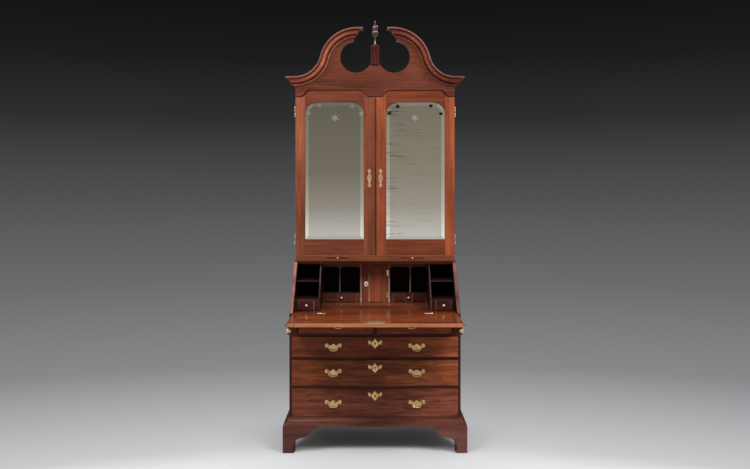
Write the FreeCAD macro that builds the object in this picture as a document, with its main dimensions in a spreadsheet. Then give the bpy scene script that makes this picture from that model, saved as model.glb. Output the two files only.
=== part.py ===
"""Bureau bookcase in mahogany: a slant-front desk on bracket feet under a two-door mirrored bookcase.

Sizes are in millimetres. Z is up with the floor at 0, X is to the right and the front faces -Y.
The piece stands with its fall lowered on the two lopers and every door and drawer shut.
"""
import FreeCAD
import Part
import Sketcher
import math
import os

document = FreeCAD.newDocument("bureau_bookcase")
sheet = document.addObject("Spreadsheet::Sheet", "Sizes")
nodes = []


class Size:
    """A length that knows its number and the sheet formula that gives it."""

    def __init__(self, number, formula):
        self.number = float(number)
        self.formula = formula

    def __add__(self, other):
        other = as_size(other)
        return Size(self.number + other.number, f"({self.formula} + {other.formula})")

    def __sub__(self, other):
        other = as_size(other)
        return Size(self.number - other.number, f"({self.formula} - {other.formula})")

    def __mul__(self, other):
        other = as_size(other)
        return Size(self.number * other.number, f"({self.formula} * {other.formula})")

    def __truediv__(self, other):
        other = as_size(other)
        return Size(self.number / other.number, f"({self.formula} / {other.formula})")

    def __neg__(self):
        return Size(-self.number, f"(0 - {self.formula})")

    def root(self):
        return Size(math.sqrt(self.number), f"sqrt({self.formula})")


def as_size(value):
    """Return value as a Size, so that plain numbers can stand beside sheet sizes."""
    if isinstance(value, Size):
        return value
    if value < 0:
        return Size(value, f"(0 - {-value})")
    return Size(value, f"{value}")


class DrivingSizes:
    """Driving sizes: setting one writes it into the sheet, and reading it gives its number and formula."""

    def __setattr__(self, name, number):
        row = len(self.__dict__) + 1
        sheet.set(f"A{row}", name)
        sheet.set(f"B{row}", str(number))
        sheet.setAlias(f"B{row}", name)
        self.__dict__[name] = Size(number, f"Sizes.{name}")


size = DrivingSizes()


def bind(item, field, value):
    """Tie one property of an item to a size."""
    item.setExpression(field, as_size(value).formula)


def place(item, x, y, z):
    """Tie the position of an item to three sizes."""
    for field, value in (("x", x), ("y", y), ("z", z)):
        bind(item, "Placement.Base." + field, value)


def board(name, x, y, z):
    """Rectangular board between the two ends given along each axis."""
    box = document.addObject("Part::Box", name)
    for field, ends in (("Length", x), ("Width", y), ("Height", z)):
        bind(box, field, as_size(ends[1]) - ends[0])
    place(box, x[0], y[0], z[0])
    return box


def rod(name, axis, radius, start, length):
    """Round bar from the point start, running towards +X, -Y or +Z."""
    turn = {"x": ((0, 1, 0), 90), "y": ((1, 0, 0), 90), "z": ((0, 0, 1), 0)}[axis]
    bar = document.addObject("Part::Cylinder", name)
    bar.Placement = FreeCAD.Placement(FreeCAD.Vector(), FreeCAD.Rotation(FreeCAD.Vector(*turn[0]), turn[1]))
    bind(bar, "Radius", radius)
    bind(bar, "Height", length)
    place(bar, *start)
    return bar


def ball(name, radius, centre):
    """Round end on a wire."""
    sphere = document.addObject("Part::Sphere", name)
    bind(sphere, "Radius", radius)
    place(sphere, *centre)
    return sphere


def draw(sketch, corners, closed=True):
    """Draw lines and arcs through corners.

    A corner is (u, v), or (u, v, radius, turn) where an arc runs on to the next corner; turn is 1 for
    an arc that bends left and -1 for one that bends right.
    """
    corners = [tuple(as_size(value) for value in corner[:3]) + tuple(corner[3:]) for corner in corners]
    count = len(corners) if closed else len(corners) - 1
    radii = []
    for index in range(count):
        first = corners[index]
        last = corners[(index + 1) % len(corners)]
        start = FreeCAD.Vector(first[0].number, first[1].number, 0)
        end = FreeCAD.Vector(last[0].number, last[1].number, 0)
        if len(first) == 2:
            sketch.addGeometry(Part.LineSegment(start, end), False)
            continue
        radius = first[2].number
        chord = end - start
        rise = math.sqrt(max(radius * radius - chord.Length ** 2 / 4, 0.0))
        across = FreeCAD.Vector(-chord.y, chord.x, 0) * (first[3] * rise / chord.Length)
        centre = (start + end) * 0.5 + across
        ends = [start, end] if first[3] > 0 else [end, start]
        angles = [math.atan2(point.y - centre.y, point.x - centre.x) for point in ends]
        circle = Part.Circle(centre, FreeCAD.Vector(0, 0, 1), radius)
        sketch.addGeometry(Part.ArcOfCircle(circle, angles[0], angles[1]), False)
        radii.append(index)
    opening = [1 if len(corner) == 2 or corner[3] > 0 else 2 for corner in corners]
    for index in range(count if closed else count - 1):
        following = (index + 1) % len(corners)
        sketch.addConstraint(Sketcher.Constraint("Coincident", index, 3 - opening[index],
                                                 following, opening[following]))
    for index, corner in enumerate(corners):
        edge = min(index, count - 1)
        point = opening[index] if index == edge else 3 - opening[edge]
        for kind, value in (("DistanceX", corner[0]), ("DistanceY", corner[1])):
            number = sketch.addConstraint(Sketcher.Constraint(kind, -1, 1, edge, point, value.number))
            bind(sketch, f"Constraints[{number}]", value)
    for index in radii:
        number = sketch.addConstraint(Sketcher.Constraint("Radius", index, corners[index][2].number))
        bind(sketch, f"Constraints[{number}]", corners[index][2])


def body_sketch(name, plane, corners):
    """Return a new body and its sketch of corners on the XY, XZ or YZ plane."""
    body = document.addObject("PartDesign::Body", name)
    support = [item for item in body.Origin.OriginFeatures if item.Role == plane + "_Plane"][0]
    sketch = body.newObject("Sketcher::SketchObject", name + "_outline")
    sketch.AttachmentSupport = [(support, "")]
    sketch.MapMode = "FlatFace"
    draw(sketch, corners)
    return body, sketch


def shaped(name, plane, corners, thickness, at):
    """Flat piece of a drawn outline: it grows towards +X, -Y or +Z from the point at."""
    body, sketch = body_sketch(name, plane, corners)
    pad = body.newObject("PartDesign::Pad", name + "_thickness")
    pad.Profile = sketch
    bind(pad, "Length", thickness)
    sketch.Visibility = False
    place(body, *at)
    return body


def turned(name, plane, corners, at):
    """Lathe-turned piece: corners give the radius and the place along Y (XY) or Z (XZ)."""
    body, sketch = body_sketch(name, plane, corners)
    lathe = body.newObject("PartDesign::Revolution", name + "_turning")
    lathe.Profile = sketch
    lathe.ReferenceAxis = (sketch, ["V_Axis"])
    lathe.Angle = 360
    place(body, *at)
    return body


def front_edges(shape, level):
    """Names of the edges of a shape that lie at one Y."""
    names = []
    for index, edge in enumerate(shape.Edges):
        if all(abs(vertex.Y - level) < 0.0001 for vertex in edge.Vertexes):
            names.append(f"Edge{index + 1}")
    return names


def rounded_panel(name, x, z, front_y, thickness, radius):
    """Panel facing -Y whose front edges are rounded; front_y is its back."""
    corners = [(0, 0), (x[1] - x[0], 0), (x[1] - x[0], z[1] - z[0]), (0, z[1] - z[0])]
    body = shaped(name, "XZ", corners, thickness, (x[0], front_y, z[0]))
    document.recompute([body], True)
    pad = body.Tip
    edges = front_edges(pad.Shape, -as_size(thickness).number)
    fillet = body.newObject("PartDesign::Fillet", name + "_rounding")
    fillet.Base = (pad, edges)
    bind(fillet, "Radius", radius)
    return body


def cut(name, base, tools):
    """Base with the tools taken away."""
    result = document.addObject("Part::Cut", name)
    result.Base = base
    if len(tools) == 1:
        result.Tool = tools[0]
    else:
        result.Tool = fused(name + "_tools", tools)
    return result


def fused(name, pieces):
    """Pieces grown into one."""
    result = document.addObject("Part::MultiFuse", name)
    result.Shapes = pieces
    result.Refine = True
    return result


def shared(name, first, second):
    """What two pieces have in common."""
    result = document.addObject("Part::MultiCommon", name)
    result.Shapes = [first, second]
    return result


def mirrored(item):
    """The same piece on the other side of the middle plane."""
    result = document.addObject("Part::Mirroring", item.Name + "_mirrored")
    result.Source = item
    result.Normal = (1, 0, 0)
    result.Base = (0, 0, 0)
    return result


def both(items):
    """The pieces and their mirror images."""
    return list(items) + [mirrored(item) for item in items]


def node(label, pieces):
    """Declare one sub-part made of one or more separate pieces."""
    if len(pieces) == 1:
        result = pieces[0]
    else:
        result = document.addObject("Part::Compound", label + "_pieces")
        result.Links = pieces
    result.Label = label
    nodes.append(result)
    return result


def swept(name, path_corners, path_at, section_corners, section_at):
    """Moulding of one section along a path that starts level towards +X in the XZ plane."""
    path = document.addObject("Sketcher::SketchObject", name + "_path")
    path.Placement = FreeCAD.Placement(FreeCAD.Vector(), FreeCAD.Rotation(FreeCAD.Vector(1, 0, 0), 90))
    draw(path, path_corners, closed=False)
    place(path, *path_at)
    section = document.addObject("Sketcher::SketchObject", name + "_section")
    section.Placement = FreeCAD.Placement(FreeCAD.Vector(), FreeCAD.Rotation(FreeCAD.Vector(1, 1, 1), 120))
    draw(section, section_corners)
    place(section, *section_at)
    sweep = document.addObject("Part::Sweep", name)
    sweep.Sections = [section]
    sweep.Spine = (path, [f"Edge{index + 1}" for index in range(len(path_corners) - 1)])
    sweep.Solid = True
    sweep.Frenet = False
    return sweep


# Lower case
root_two = Size(math.sqrt(2), "sqrt(2)")
size.case_width = 965
size.case_depth = 585
size.case_board = 20
size.back_board = 12
size.writing_height = 775
size.desk_height = 1052
size.desk_top_board = 20
size.fall_board = 20
size.fall_lip = 7.6
size.fall_lip_over = 8.5
size.fall_lip_play = 0.4
size.fall_gap = 1
size.hinge_back = 16
size.short_drawer_height = 87
size.upper_drawer_height = 107
size.middle_drawer_height = 136
size.lower_drawer_height = 157
size.drawer_rail = 25
size.rail_depth = 80
size.runner_width = 32
size.runner_height = 18

half_case = size.case_width / 2
inner_case = half_case - size.case_board
desk_under = size.desk_height - size.desk_top_board
fall_under = size.writing_height - size.fall_board
fall_length = (size.desk_height - size.writing_height) * root_two - size.fall_board - size.fall_gap
fall_reach = fall_length - size.hinge_back
front = (fall_reach - size.case_depth) / 2
case_back = front + size.case_depth
inner_back = case_back - size.back_board

short_top = fall_under
short_bottom = short_top - size.short_drawer_height
upper_top = short_bottom - size.drawer_rail
upper_bottom = upper_top - size.upper_drawer_height
middle_top = upper_bottom - size.drawer_rail
middle_bottom = middle_top - size.middle_drawer_height
lower_top = middle_bottom - size.drawer_rail
desk_floor = lower_top - size.lower_drawer_height
size.base_height = 46
foot_height = desk_floor - size.base_height

# The fall shuts at 45 degrees: its end meets a bevel on the desk top, and its lips lie on the sides
seat = size.fall_board - size.fall_lip - size.fall_lip_play
shut_length = fall_length + size.fall_gap
bevel_sum = size.hinge_back + size.writing_height + shut_length * root_two
seat_end_y = size.hinge_back + (shut_length - seat) / root_two
seat_end_z = size.writing_height + (shut_length + seat) / root_two
seat_start_z = size.writing_height - size.hinge_back + seat * root_two
side_outline = [(0, foot_height), (size.case_depth, foot_height), (size.case_depth, desk_under),
                (bevel_sum - desk_under, desk_under), (seat_end_y, seat_end_z), (0, seat_start_z)]
desk_side = shaped("desk_side", "YZ", side_outline, size.case_board, (-half_case, front, 0))
node("desk_sides", both([desk_side]))
top_outline = [(bevel_sum - size.desk_height, size.desk_height), (bevel_sum - desk_under, desk_under),
               (size.case_depth, desk_under), (size.case_depth, size.desk_height)]
node("desk_top", [shaped("desk_top_bevelled", "YZ", top_outline, size.case_width, (-half_case, front, 0))])
across = (-inner_case, inner_case)
node("desk_bottom",
     [board("bottom_board", across, (front, inner_back), (desk_floor - size.case_board, desk_floor))])
node("desk_back",
     [board("back_panel", across, (inner_back, case_back), (desk_floor - size.case_board, desk_under))])

# Rails, dust board and runners between the drawers
rail_front = (front, front + size.rail_depth)
runner_y = (front + size.rail_depth, inner_back)
dust_board = board("dust_board", across, (front, inner_back), (upper_top, short_bottom))
upper_rail = board("upper_rail", across, rail_front, (middle_top, upper_bottom))
lower_rail = board("lower_rail", across, rail_front, (lower_top, middle_bottom))
runner_x = (-inner_case, -inner_case + size.runner_width)
upper_runner = board("upper_runner", runner_x, runner_y, (upper_bottom - size.runner_height, upper_bottom))
lower_runner = board("lower_runner", runner_x, runner_y,
                     (middle_bottom - size.runner_height, middle_bottom))
node("drawer_rails", [dust_board, upper_rail, lower_rail] + both([upper_runner, lower_runner]))

# Upright partitions of the short drawer row, with a slot beside each side for a loper
size.centre_muntin = 34
size.loper_width = 24
size.loper_height = 50
size.loper_play = 0.75
size.loper_under_play = 0.5
size.loper_muntin = 13
loper_slot = inner_case - size.loper_width - size.loper_play * 2
short_outer = loper_slot - size.loper_muntin
partition_y = (front, inner_back)
partition_z = (short_bottom, short_top)
middle_partition = board("middle_partition", (-size.centre_muntin / 2, size.centre_muntin / 2), partition_y,
                         partition_z)
loper_partition = board("loper_partition", (-loper_slot, -short_outer), partition_y, partition_z)
loper_z = (short_top - size.loper_under_play - size.loper_height, short_top - size.loper_under_play)
loper_bed = board("loper_bed", (-inner_case, -loper_slot), partition_y,
                  (short_bottom, loper_z[0] - size.loper_under_play))
node("drawer_partitions", [middle_partition] + both([loper_partition, loper_bed]))

# Base moulding in three mitred lengths
size.base_reach = 31
size.base_fillet = 13
size.base_bead = 5
size.base_top_edge = 5
size.base_cove = 26


def base_section(way):
    """Section of the base moulding, standing out in the direction way."""
    outer = size.base_reach * way
    shoulder = (size.base_reach - size.base_bead) * way
    upper = size.base_top_edge * way
    return [(0, 0), (outer, 0), (outer, size.base_fillet, size.base_bead, way),
            (shoulder, size.base_fillet + size.base_bead, size.base_cove, -way),
            (upper, size.base_height - size.base_top_edge), (upper, size.base_height),
            (0, size.base_height)]


base_outer = half_case + size.base_reach
base_front = front - size.base_reach
front_base = shaped("front_base", "YZ", base_section(-1), base_outer * 2, (-base_outer, front, foot_height))
side_base = shaped("side_base", "XZ", base_section(-1), size.case_depth + size.base_reach,
                   (-half_case, case_back, foot_height))
front_mitre = shaped("front_base_mitre", "XY",
                     [(-base_outer, base_front), (base_outer, base_front), (half_case, front),
                      (-half_case, front)], size.base_height, (0, 0, foot_height))
side_mitre = shaped("side_base_mitre", "XY",
                    [(-base_outer, base_front), (-half_case, front), (-half_case, case_back),
                     (-base_outer, case_back)], size.base_height, (0, 0, foot_height))
node("base_moulding", [shared("front_base_length", front_base, front_mitre)]
     + both([shared("side_base_length", side_base, side_mitre)]))

# Bracket feet: two shaped brackets and a glue block in each corner
size.foot_reach = 34
size.foot_board = 24
size.foot_length = 206
size.foot_toe = 60
size.foot_toe_rise = 10
size.foot_cusp = 114
size.foot_cusp_drop = 61
size.foot_hollow = 24
size.foot_wave = 70
size.glue_block = 42
size.back_bracket = 150


def bracket(way, toe_start, toe_end):
    """Outline of a bracket running from its corner in the direction way."""
    middle = (size.foot_cusp + size.foot_length) / 2
    middle_drop = size.foot_cusp_drop / 2
    hollow_across = size.foot_cusp - toe_end
    hollow_tall = foot_height - size.foot_cusp_drop - size.foot_toe_rise
    hollow_square = (hollow_across * hollow_across + hollow_tall * hollow_tall) / 4
    hollow_bend = (hollow_square + size.foot_hollow * size.foot_hollow) / (size.foot_hollow * 2)
    return [(toe_start * way, 0), (toe_end * way, 0),
            (toe_end * way, size.foot_toe_rise, hollow_bend, -way),
            (size.foot_cusp * way, foot_height - size.foot_cusp_drop, size.foot_wave, way),
            (middle * way, foot_height - middle_drop, size.foot_wave, -way),
            (size.foot_length * way, foot_height), (toe_start * way, foot_height)]


foot_x = half_case + size.foot_reach
foot_y = front - size.foot_reach
front_bracket = shaped("front_bracket", "XZ", bracket(1, as_size(0), size.foot_toe), size.foot_board,
                       (-foot_x, foot_y + size.foot_board, 0))
side_bracket = shaped("side_bracket", "YZ", bracket(1, size.foot_board, size.foot_toe), size.foot_board,
                      (-foot_x, foot_y, 0))
rear_bracket = shaped("rear_bracket", "YZ", bracket(-1, as_size(0), size.foot_toe), size.foot_board,
                      (-foot_x, case_back, 0))
inner_foot = -foot_x + size.foot_board
rear_board = board("rear_board", (inner_foot, inner_foot + size.back_bracket),
                   (case_back - size.foot_board, case_back),
                   (size.foot_cusp_drop, foot_height))
front_block = board("front_block", (inner_foot, inner_foot + size.glue_block),
                    (foot_y + size.foot_board, foot_y + size.foot_board + size.glue_block),
                    (0, foot_height))
rear_block = board("rear_block", (inner_foot, inner_foot + size.glue_block),
                   (case_back - size.foot_board - size.glue_block, case_back - size.foot_board),
                   (0, foot_height))
node("bracket_feet", both([front_bracket, side_bracket, rear_bracket, rear_board, front_block, rear_block]))

# Hinges and hinge pins share these sizes
size.pin_play = 0.05
size.knuckle_gap = 0.4

# Brass hinges of the fall, let in flush with the writing level
size.fall_hinge_place = 302
size.fall_hinge_width = 43
size.fall_leaf = 28
size.fall_leaf_thick = 1.6
size.fall_knuckle = 2.6
size.fall_pin = 1.2
size.knuckle_clear = 0.6
fall_axis_y = front + size.hinge_back
third = size.fall_hinge_width / 3
hinge_start = -size.fall_hinge_place - size.fall_hinge_width / 2
hinge_end = hinge_start + size.fall_hinge_width
leaf_z = (size.writing_height - size.fall_leaf_thick, size.writing_height)
leaf_away = size.fall_knuckle + size.knuckle_clear
hinge_axis = (hinge_start, fall_axis_y, size.writing_height)
board_leaf = board("board_leaf", (hinge_start, hinge_end),
                   (fall_axis_y + leaf_away, fall_axis_y + size.fall_leaf), leaf_z)
board_tabs = [
    board("board_tab", (hinge_start, hinge_start + third - size.knuckle_gap),
          (fall_axis_y, fall_axis_y + leaf_away), leaf_z),
    board("board_tab_two", (hinge_end - third + size.knuckle_gap, hinge_end),
          (fall_axis_y, fall_axis_y + leaf_away), leaf_z)]
board_knuckles = [
    rod("board_knuckle", "x", size.fall_knuckle, hinge_axis, third - size.knuckle_gap),
    rod("board_knuckle_two", "x", size.fall_knuckle,
        (hinge_end - third + size.knuckle_gap, fall_axis_y, size.writing_height), third - size.knuckle_gap)]
board_pin = rod("board_pin", "x", size.fall_pin, hinge_axis, size.fall_hinge_width)
board_hinge = fused("board_hinge", [board_leaf, board_pin] + board_tabs + board_knuckles)
fall_plate = board("fall_plate", (hinge_start, hinge_end),
                   (fall_axis_y - size.fall_leaf, fall_axis_y - leaf_away), leaf_z)
fall_tab = board("fall_tab", (hinge_start + third, hinge_end - third),
                 (fall_axis_y - leaf_away, fall_axis_y), leaf_z)
middle_x = (hinge_start + third, fall_axis_y, size.writing_height)
fall_middle = rod("fall_middle", "x", size.fall_knuckle, middle_x, third)
fall_bore = rod("fall_bore", "x", size.fall_pin + size.pin_play, middle_x, third)
fall_hinge = cut("fall_hinge", fused("fall_hinge_solid", [fall_plate, fall_tab, fall_middle]), [fall_bore])


def hinge_pocket(name, y_ends):
    """Pocket in the wood for one leaf and the knuckles."""
    sides = (hinge_start - size.knuckle_gap, hinge_end + size.knuckle_gap)
    groove = rod(name + "_groove", "x", leaf_away, (sides[0], fall_axis_y, size.writing_height),
                 sides[1] - sides[0])
    bed = board(name + "_bed", (hinge_start, hinge_end), y_ends, leaf_z)
    return fused(name, [groove, bed])


board_pocket = hinge_pocket("board_pocket", (fall_axis_y, fall_axis_y + size.fall_leaf))
fall_pocket = hinge_pocket("fall_pocket", (fall_axis_y - size.fall_leaf, fall_axis_y))

# Writing board behind the fall
writing_blank = board("writing_blank", across, (fall_axis_y + size.fall_gap, inner_back),
                      (fall_under, size.writing_height))
node("writing_board", [cut("writing_board_cut", writing_blank, both([board_pocket]))])

# Fall: panel between two end cleats whose lips lie on the sides when it is shut
size.cleat_width = 50
size.fall_side_play = 1
size.lock_plate_width = 86
size.lock_plate_depth = 17
size.lock_plate_thick = 1.6
fall_inner = inner_case - size.fall_side_play
fall_outer = inner_case + size.fall_lip_over
cleat_start = fall_outer - size.cleat_width
fall_y = (front - fall_reach, fall_axis_y - size.fall_gap)
fall_z = (fall_under, size.writing_height)
panel_blank = board("panel_blank", (-cleat_start, cleat_start), fall_y, fall_z)
lock_z = (size.writing_height - size.lock_plate_thick, size.writing_height)
lock_box = ((-size.lock_plate_width / 2, size.lock_plate_width / 2),
            (fall_y[0], fall_y[0] + size.lock_plate_depth), lock_z)
lock_pocket = board("lock_pocket", *lock_box)
node("fall_panel", [cut("fall_panel_cut", panel_blank, both([fall_pocket]) + [lock_pocket])])
cleat_core = board("cleat_core", (-fall_inner, -cleat_start), fall_y, fall_z)
cleat_lip = board("cleat_lip", (-fall_outer, -fall_inner), (fall_y[0], front - size.fall_gap),
                  (fall_under, fall_under + size.fall_lip))
node("fall_cleats", both([fused("fall_cleat", [cleat_core, cleat_lip])]))

# Brass plates, posts and bails
size.plate_thick = 1.5
size.plate_width = 93
size.plate_height = 42
size.keyplate_width = 78
size.keyplate_height = 56
size.keyhole_radius = 3.2
size.keyhole_slot = 9
size.post_space = 64
size.post_rise = 8
size.post_radius = 4.6
size.post_length = 13
size.bail_stand = 8
size.bail_wire = 2.7
size.bail_pivot = 2
size.bail_drop = 25
size.bail_bend = 15
size.bail_clear = 0.5


def mirror_outline(right, bends, upward):
    """Closed outline from its right half, which runs clockwise from the top to the foot."""
    corners = [corner + ((bend[0], bend[1] * upward) if bend else ()) for corner, bend in zip(right, bends)]
    left = [(-corner[0], corner[1]) for corner in right[::-1]]
    for corner, bend in zip(left, bends[::-1]):
        corners.append(corner + ((bend[0], bend[1] * upward) if bend else ()))
    return corners


def wing_outline(width, height):
    """Bat-wing pull plate about its middle: a crest, two raised wings and a rounded shield below."""
    half = width / 2
    tall = height / 2
    right = [(half * 0, tall * 0.90), (half * 0.20, tall * 0.62), (half * 0.34, tall * 0.50),
             (half * 0.60, tall * 0.86), (half * 0.84, tall), (half, tall * 0.62),
             (half * 0.94, tall * 0.10),
             (half * 0.80, tall * -0.06), (half * 0.62, tall * 0.10), (half * 0.58, tall * -0.40),
             (half * 0.34, tall * -0.82), (half * 0, tall * -1)]
    bends = [(half * 0.16, -1), None, (half * 0.35, 1), (half * 0.20, -1), (half * 0.18, -1),
             (half * 0.60, -1),
             (half * 0.10, -1), (half * 0.12, 1), (half * 0.40, -1), (half * 0.30, -1), (half * 0.60, -1)]
    return mirror_outline(right, bends, 1)


def key_outline(width, height, upward=1):
    """Keyhole plate about its middle: a lozenge with a small wing on each side."""
    half = width / 2
    tall = height / 2 * upward
    right = [(half * 0, tall), (half * 0.22, tall * 0.55), (half * 0.42, tall * 0.36),
             (half * 0.70, tall * 0.62),
             (half, tall * 0.60), (half * 0.92, tall * 0.10), (half * 0.72, tall * -0.12),
             (half * 0.48, tall * -0.06), (half * 0.28, tall * -0.50), (half * 0, tall * -1)]
    bends = [(half * 0.35, -1), None, (half * 0.30, 1), (half * 0.22, -1), (half * 0.50, -1),
             (half * 0.17, -1),
             (half * 0.20, 1), (half * 0.40, -1), (half * 0.60, 1)]
    return mirror_outline(right, bends, upward)


def keyhole(name, x, y, z, depth):
    """Keyhole through a plate that faces -Y: a round eye over a slot."""
    eye = rod(name + "_eye", "y", size.keyhole_radius, (x, y, z), depth)
    slot = board(name + "_slot", (x - size.keyhole_radius / 2, x + size.keyhole_radius / 2), (y - depth, y),
                 (z - size.keyhole_slot, z))
    return fused(name, [eye, slot])


def pull(name, x, face, z, with_keyhole):
    """Plate with two posts at x and z on the surface face, and the bail that swings from them."""
    plate = shaped(name + "_plate", "XZ", wing_outline(size.plate_width, size.plate_height),
                   size.plate_thick, (x, face, z))
    if with_keyhole:
        hole = keyhole(name + "_keyhole", x, face + size.plate_thick, z + size.keyhole_slot / 2,
                       size.plate_thick * 3)
        plate = cut(name + "_plate_cut", plate, [hole])
    surface = face - size.plate_thick
    axis_y = surface - size.bail_stand
    axis_z = z + size.post_rise
    pieces = [plate]
    stubs = []
    for side, way in (("left", -1), ("right", 1)):
        post_x = x + size.post_space / 2 * way
        post = rod(f"{name}_{side}_post", "y", size.post_radius, (post_x, surface, axis_z),
                   size.post_length)
        bore = rod(f"{name}_{side}_bore", "x", size.bail_pivot + size.pin_play,
                   (post_x - size.post_radius * 2, axis_y, axis_z), size.post_radius * 4)
        pieces.append(cut(f"{name}_{side}_post_cut", post, [bore]))
        inner = size.post_space / 2 - size.post_radius - size.bail_clear - size.bail_wire
        length = size.post_radius * 2 + size.bail_clear + size.bail_wire
        start = x + inner if way > 0 else x - inner - length
        stubs.append(rod(f"{name}_{side}_stub", "x", size.bail_pivot, (start, axis_y, axis_z), length))
        stubs.append(ball(f"{name}_{side}_ball", size.bail_wire, (x + inner * way, axis_y, axis_z)))
    arm = size.post_space / 2 - size.post_radius - size.bail_clear - size.bail_wire
    low = -size.bail_drop
    path = [(-arm, 0), (-arm, low + size.bail_bend, size.bail_bend, 1), (-arm + size.bail_bend, low),
            (arm - size.bail_bend, low, size.bail_bend, 1), (arm, low + size.bail_bend), (arm, 0)]
    spine = document.addObject("Sketcher::SketchObject", name + "_spine")
    spine.Placement = FreeCAD.Placement(FreeCAD.Vector(), FreeCAD.Rotation(FreeCAD.Vector(1, 0, 0), 90))
    draw(spine, path, closed=False)
    place(spine, x, axis_y, axis_z)
    ring = document.addObject("Part::Circle", name + "_ring")
    bind(ring, "Radius", size.bail_wire)
    place(ring, x - arm, axis_y, axis_z)
    wire = document.addObject("Part::Sweep", name + "_wire")
    wire.Sections = [ring]
    wire.Spine = (spine, [f"Edge{index + 1}" for index in range(5)])
    wire.Solid = True
    return pieces, fused(name + "_bail", [wire] + stubs)


def key_plate(name, x, face, z):
    """Bat-wing keyhole plate on the surface face."""
    plate = shaped(name, "XZ", key_outline(size.keyplate_width, size.keyplate_height), size.plate_thick,
                   (x, face, z))
    hole = keyhole(name + "_keyhole", x, face + size.plate_thick, z + size.keyhole_slot / 2,
                   size.plate_thick * 3)
    return cut(name + "_cut", plate, [hole])


# Fall brasses: hinge leaves, lock plate and a keyhole plate on the outer face
size.fall_key_place = 46
size.fall_key_width = 72
size.fall_key_height = 50
fall_key_y = fall_y[0] + size.fall_key_place
fall_key = shaped("fall_key", "XY", key_outline(size.fall_key_width, size.fall_key_height, -1),
                  size.plate_thick,
                  (0, fall_key_y, fall_under - size.plate_thick))
fall_eye = rod("fall_eye", "z", size.keyhole_radius, (0, fall_key_y, fall_under - size.plate_thick * 2),
               size.plate_thick * 3)
node("fall_brasses",
     both([fall_hinge]) + [board("lock_plate", *lock_box), cut("fall_key_cut", fall_key, [fall_eye])])

# Drawers with lipped fronts
size.drawer_play = 1
size.drawer_seat = 0.4
size.lip_over = 4
size.side_lip_over = 5.5
size.lip_thick = 6
size.lip_round = 4.5
size.front_board = 20
size.drawer_side = 12
size.drawer_floor = 7
size.floor_rise = 6
size.side_drop = 8
size.drawer_back_space = 25
drawer_face = front - size.drawer_seat - size.lip_thick


def drawer(name, x, z, lip_bottom, lip_top):
    """Lipped drawer in the opening x by z: front, two sides, back and bottom."""
    lip = rounded_panel(name + "_lip", (x[0] - size.side_lip_over, x[1] + size.side_lip_over),
                        (lip_bottom, lip_top),
                        front - size.drawer_seat, size.lip_thick, size.lip_round)
    inner_x = (x[0] + size.drawer_play, x[1] - size.drawer_play)
    core_back = front - size.drawer_seat + size.front_board - size.lip_thick
    core = board(name + "_core", inner_x, (front - size.drawer_seat, core_back),
                 (z[0] + size.drawer_play, z[1] - size.drawer_play))
    end = inner_back - size.drawer_back_space
    side_z = (z[0] + size.drawer_play, z[1] - size.side_drop)
    floor_z = (z[0] + size.floor_rise, z[0] + size.floor_rise + size.drawer_floor)
    between = (inner_x[0] + size.drawer_side, inner_x[1] - size.drawer_side)
    return [fused(name + "_front_board", [lip, core]),
            board(name + "_left_board", (inner_x[0], between[0]), (core_back, end), side_z),
            board(name + "_right_board", (between[1], inner_x[1]), (core_back, end), side_z),
            board(name + "_floor_board", between, (core_back, end), floor_z),
            board(name + "_back_board", between, (end - size.drawer_side, end), (floor_z[1], side_z[1]))]


size.short_pull_place = 206
size.long_pull_place = 235
size.short_pull_rise = 45
size.upper_pull_rise = 51
size.middle_pull_rise = 68
size.lower_pull_rise = 76
size.upper_key_rise = 70
size.middle_key_rise = 94
size.lower_key_rise = 120

short_x = (-short_outer, -size.centre_muntin / 2)
short_head = short_top - size.plate_thick
short_boards = drawer("short_drawer", short_x, (short_bottom, short_head), short_bottom - size.lip_over,
                      short_head - size.drawer_play)
node("short_drawer_left", short_boards)
node("short_drawer_right", [mirrored(item) for item in short_boards])
short_pieces, short_bail = pull("short_pull", -size.short_pull_place, drawer_face,
                                short_bottom + size.short_pull_rise, True)
node("short_brasses_left", short_pieces)
node("short_brasses_right", [mirrored(item) for item in short_pieces])
node("short_bail_left", [short_bail])
node("short_bail_right", [mirrored(short_bail)])

long_rows = (("upper", upper_bottom, upper_top, size.lip_over, size.upper_pull_rise, size.upper_key_rise),
             ("middle", middle_bottom, middle_top, size.lip_over, size.middle_pull_rise,
              size.middle_key_rise),
             ("lower", desk_floor, lower_top, -size.drawer_play, size.lower_pull_rise, size.lower_key_rise))
for row, bottom, top, lip_below, pull_rise, key_rise in long_rows:
    node(row + "_drawer",
         drawer(row + "_long", across, (bottom, top), bottom - lip_below, top + size.lip_over))
    row_pieces, row_bail = pull(row + "_pull", -size.long_pull_place, drawer_face, bottom + pull_rise,
                                False)
    row_key = key_plate(row + "_key", as_size(0), drawer_face, bottom + key_rise)
    node(row + "_brasses", both(row_pieces) + [row_key])
    node(row + "_bails", both([row_bail]))

# Lopers drawn out under the fall, each with a brass knob
size.loper_length = 450
size.loper_short = 65
size.loper_knob_outward = 6
size.loper_knob_radius = 12
size.loper_knob_stand = 20
size.loper_neck = 5
loper_x = (-inner_case + size.loper_play, -inner_case + size.loper_play + size.loper_width)
loper_face = front - fall_reach + size.loper_short
loper = board("loper", loper_x, (loper_face, loper_face + size.loper_length), loper_z)
node("loper_left", [loper])
node("loper_right", [mirrored(loper)])


def knob(name, radius, neck, stand, at):
    """Turned knob on a stem, standing towards -Y from the point at."""
    belly = radius - neck
    profile = [(0, 0), (0, -stand, stand, 1), (radius * 0.62, -stand + belly * 0.35, belly, 1),
               (radius, -stand + belly, belly, 1), (neck, -stand + belly * 2.1), (neck, -neck * 0.4),
               (neck * 1.5, 0)]
    return turned(name, "XY", profile, at)


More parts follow.
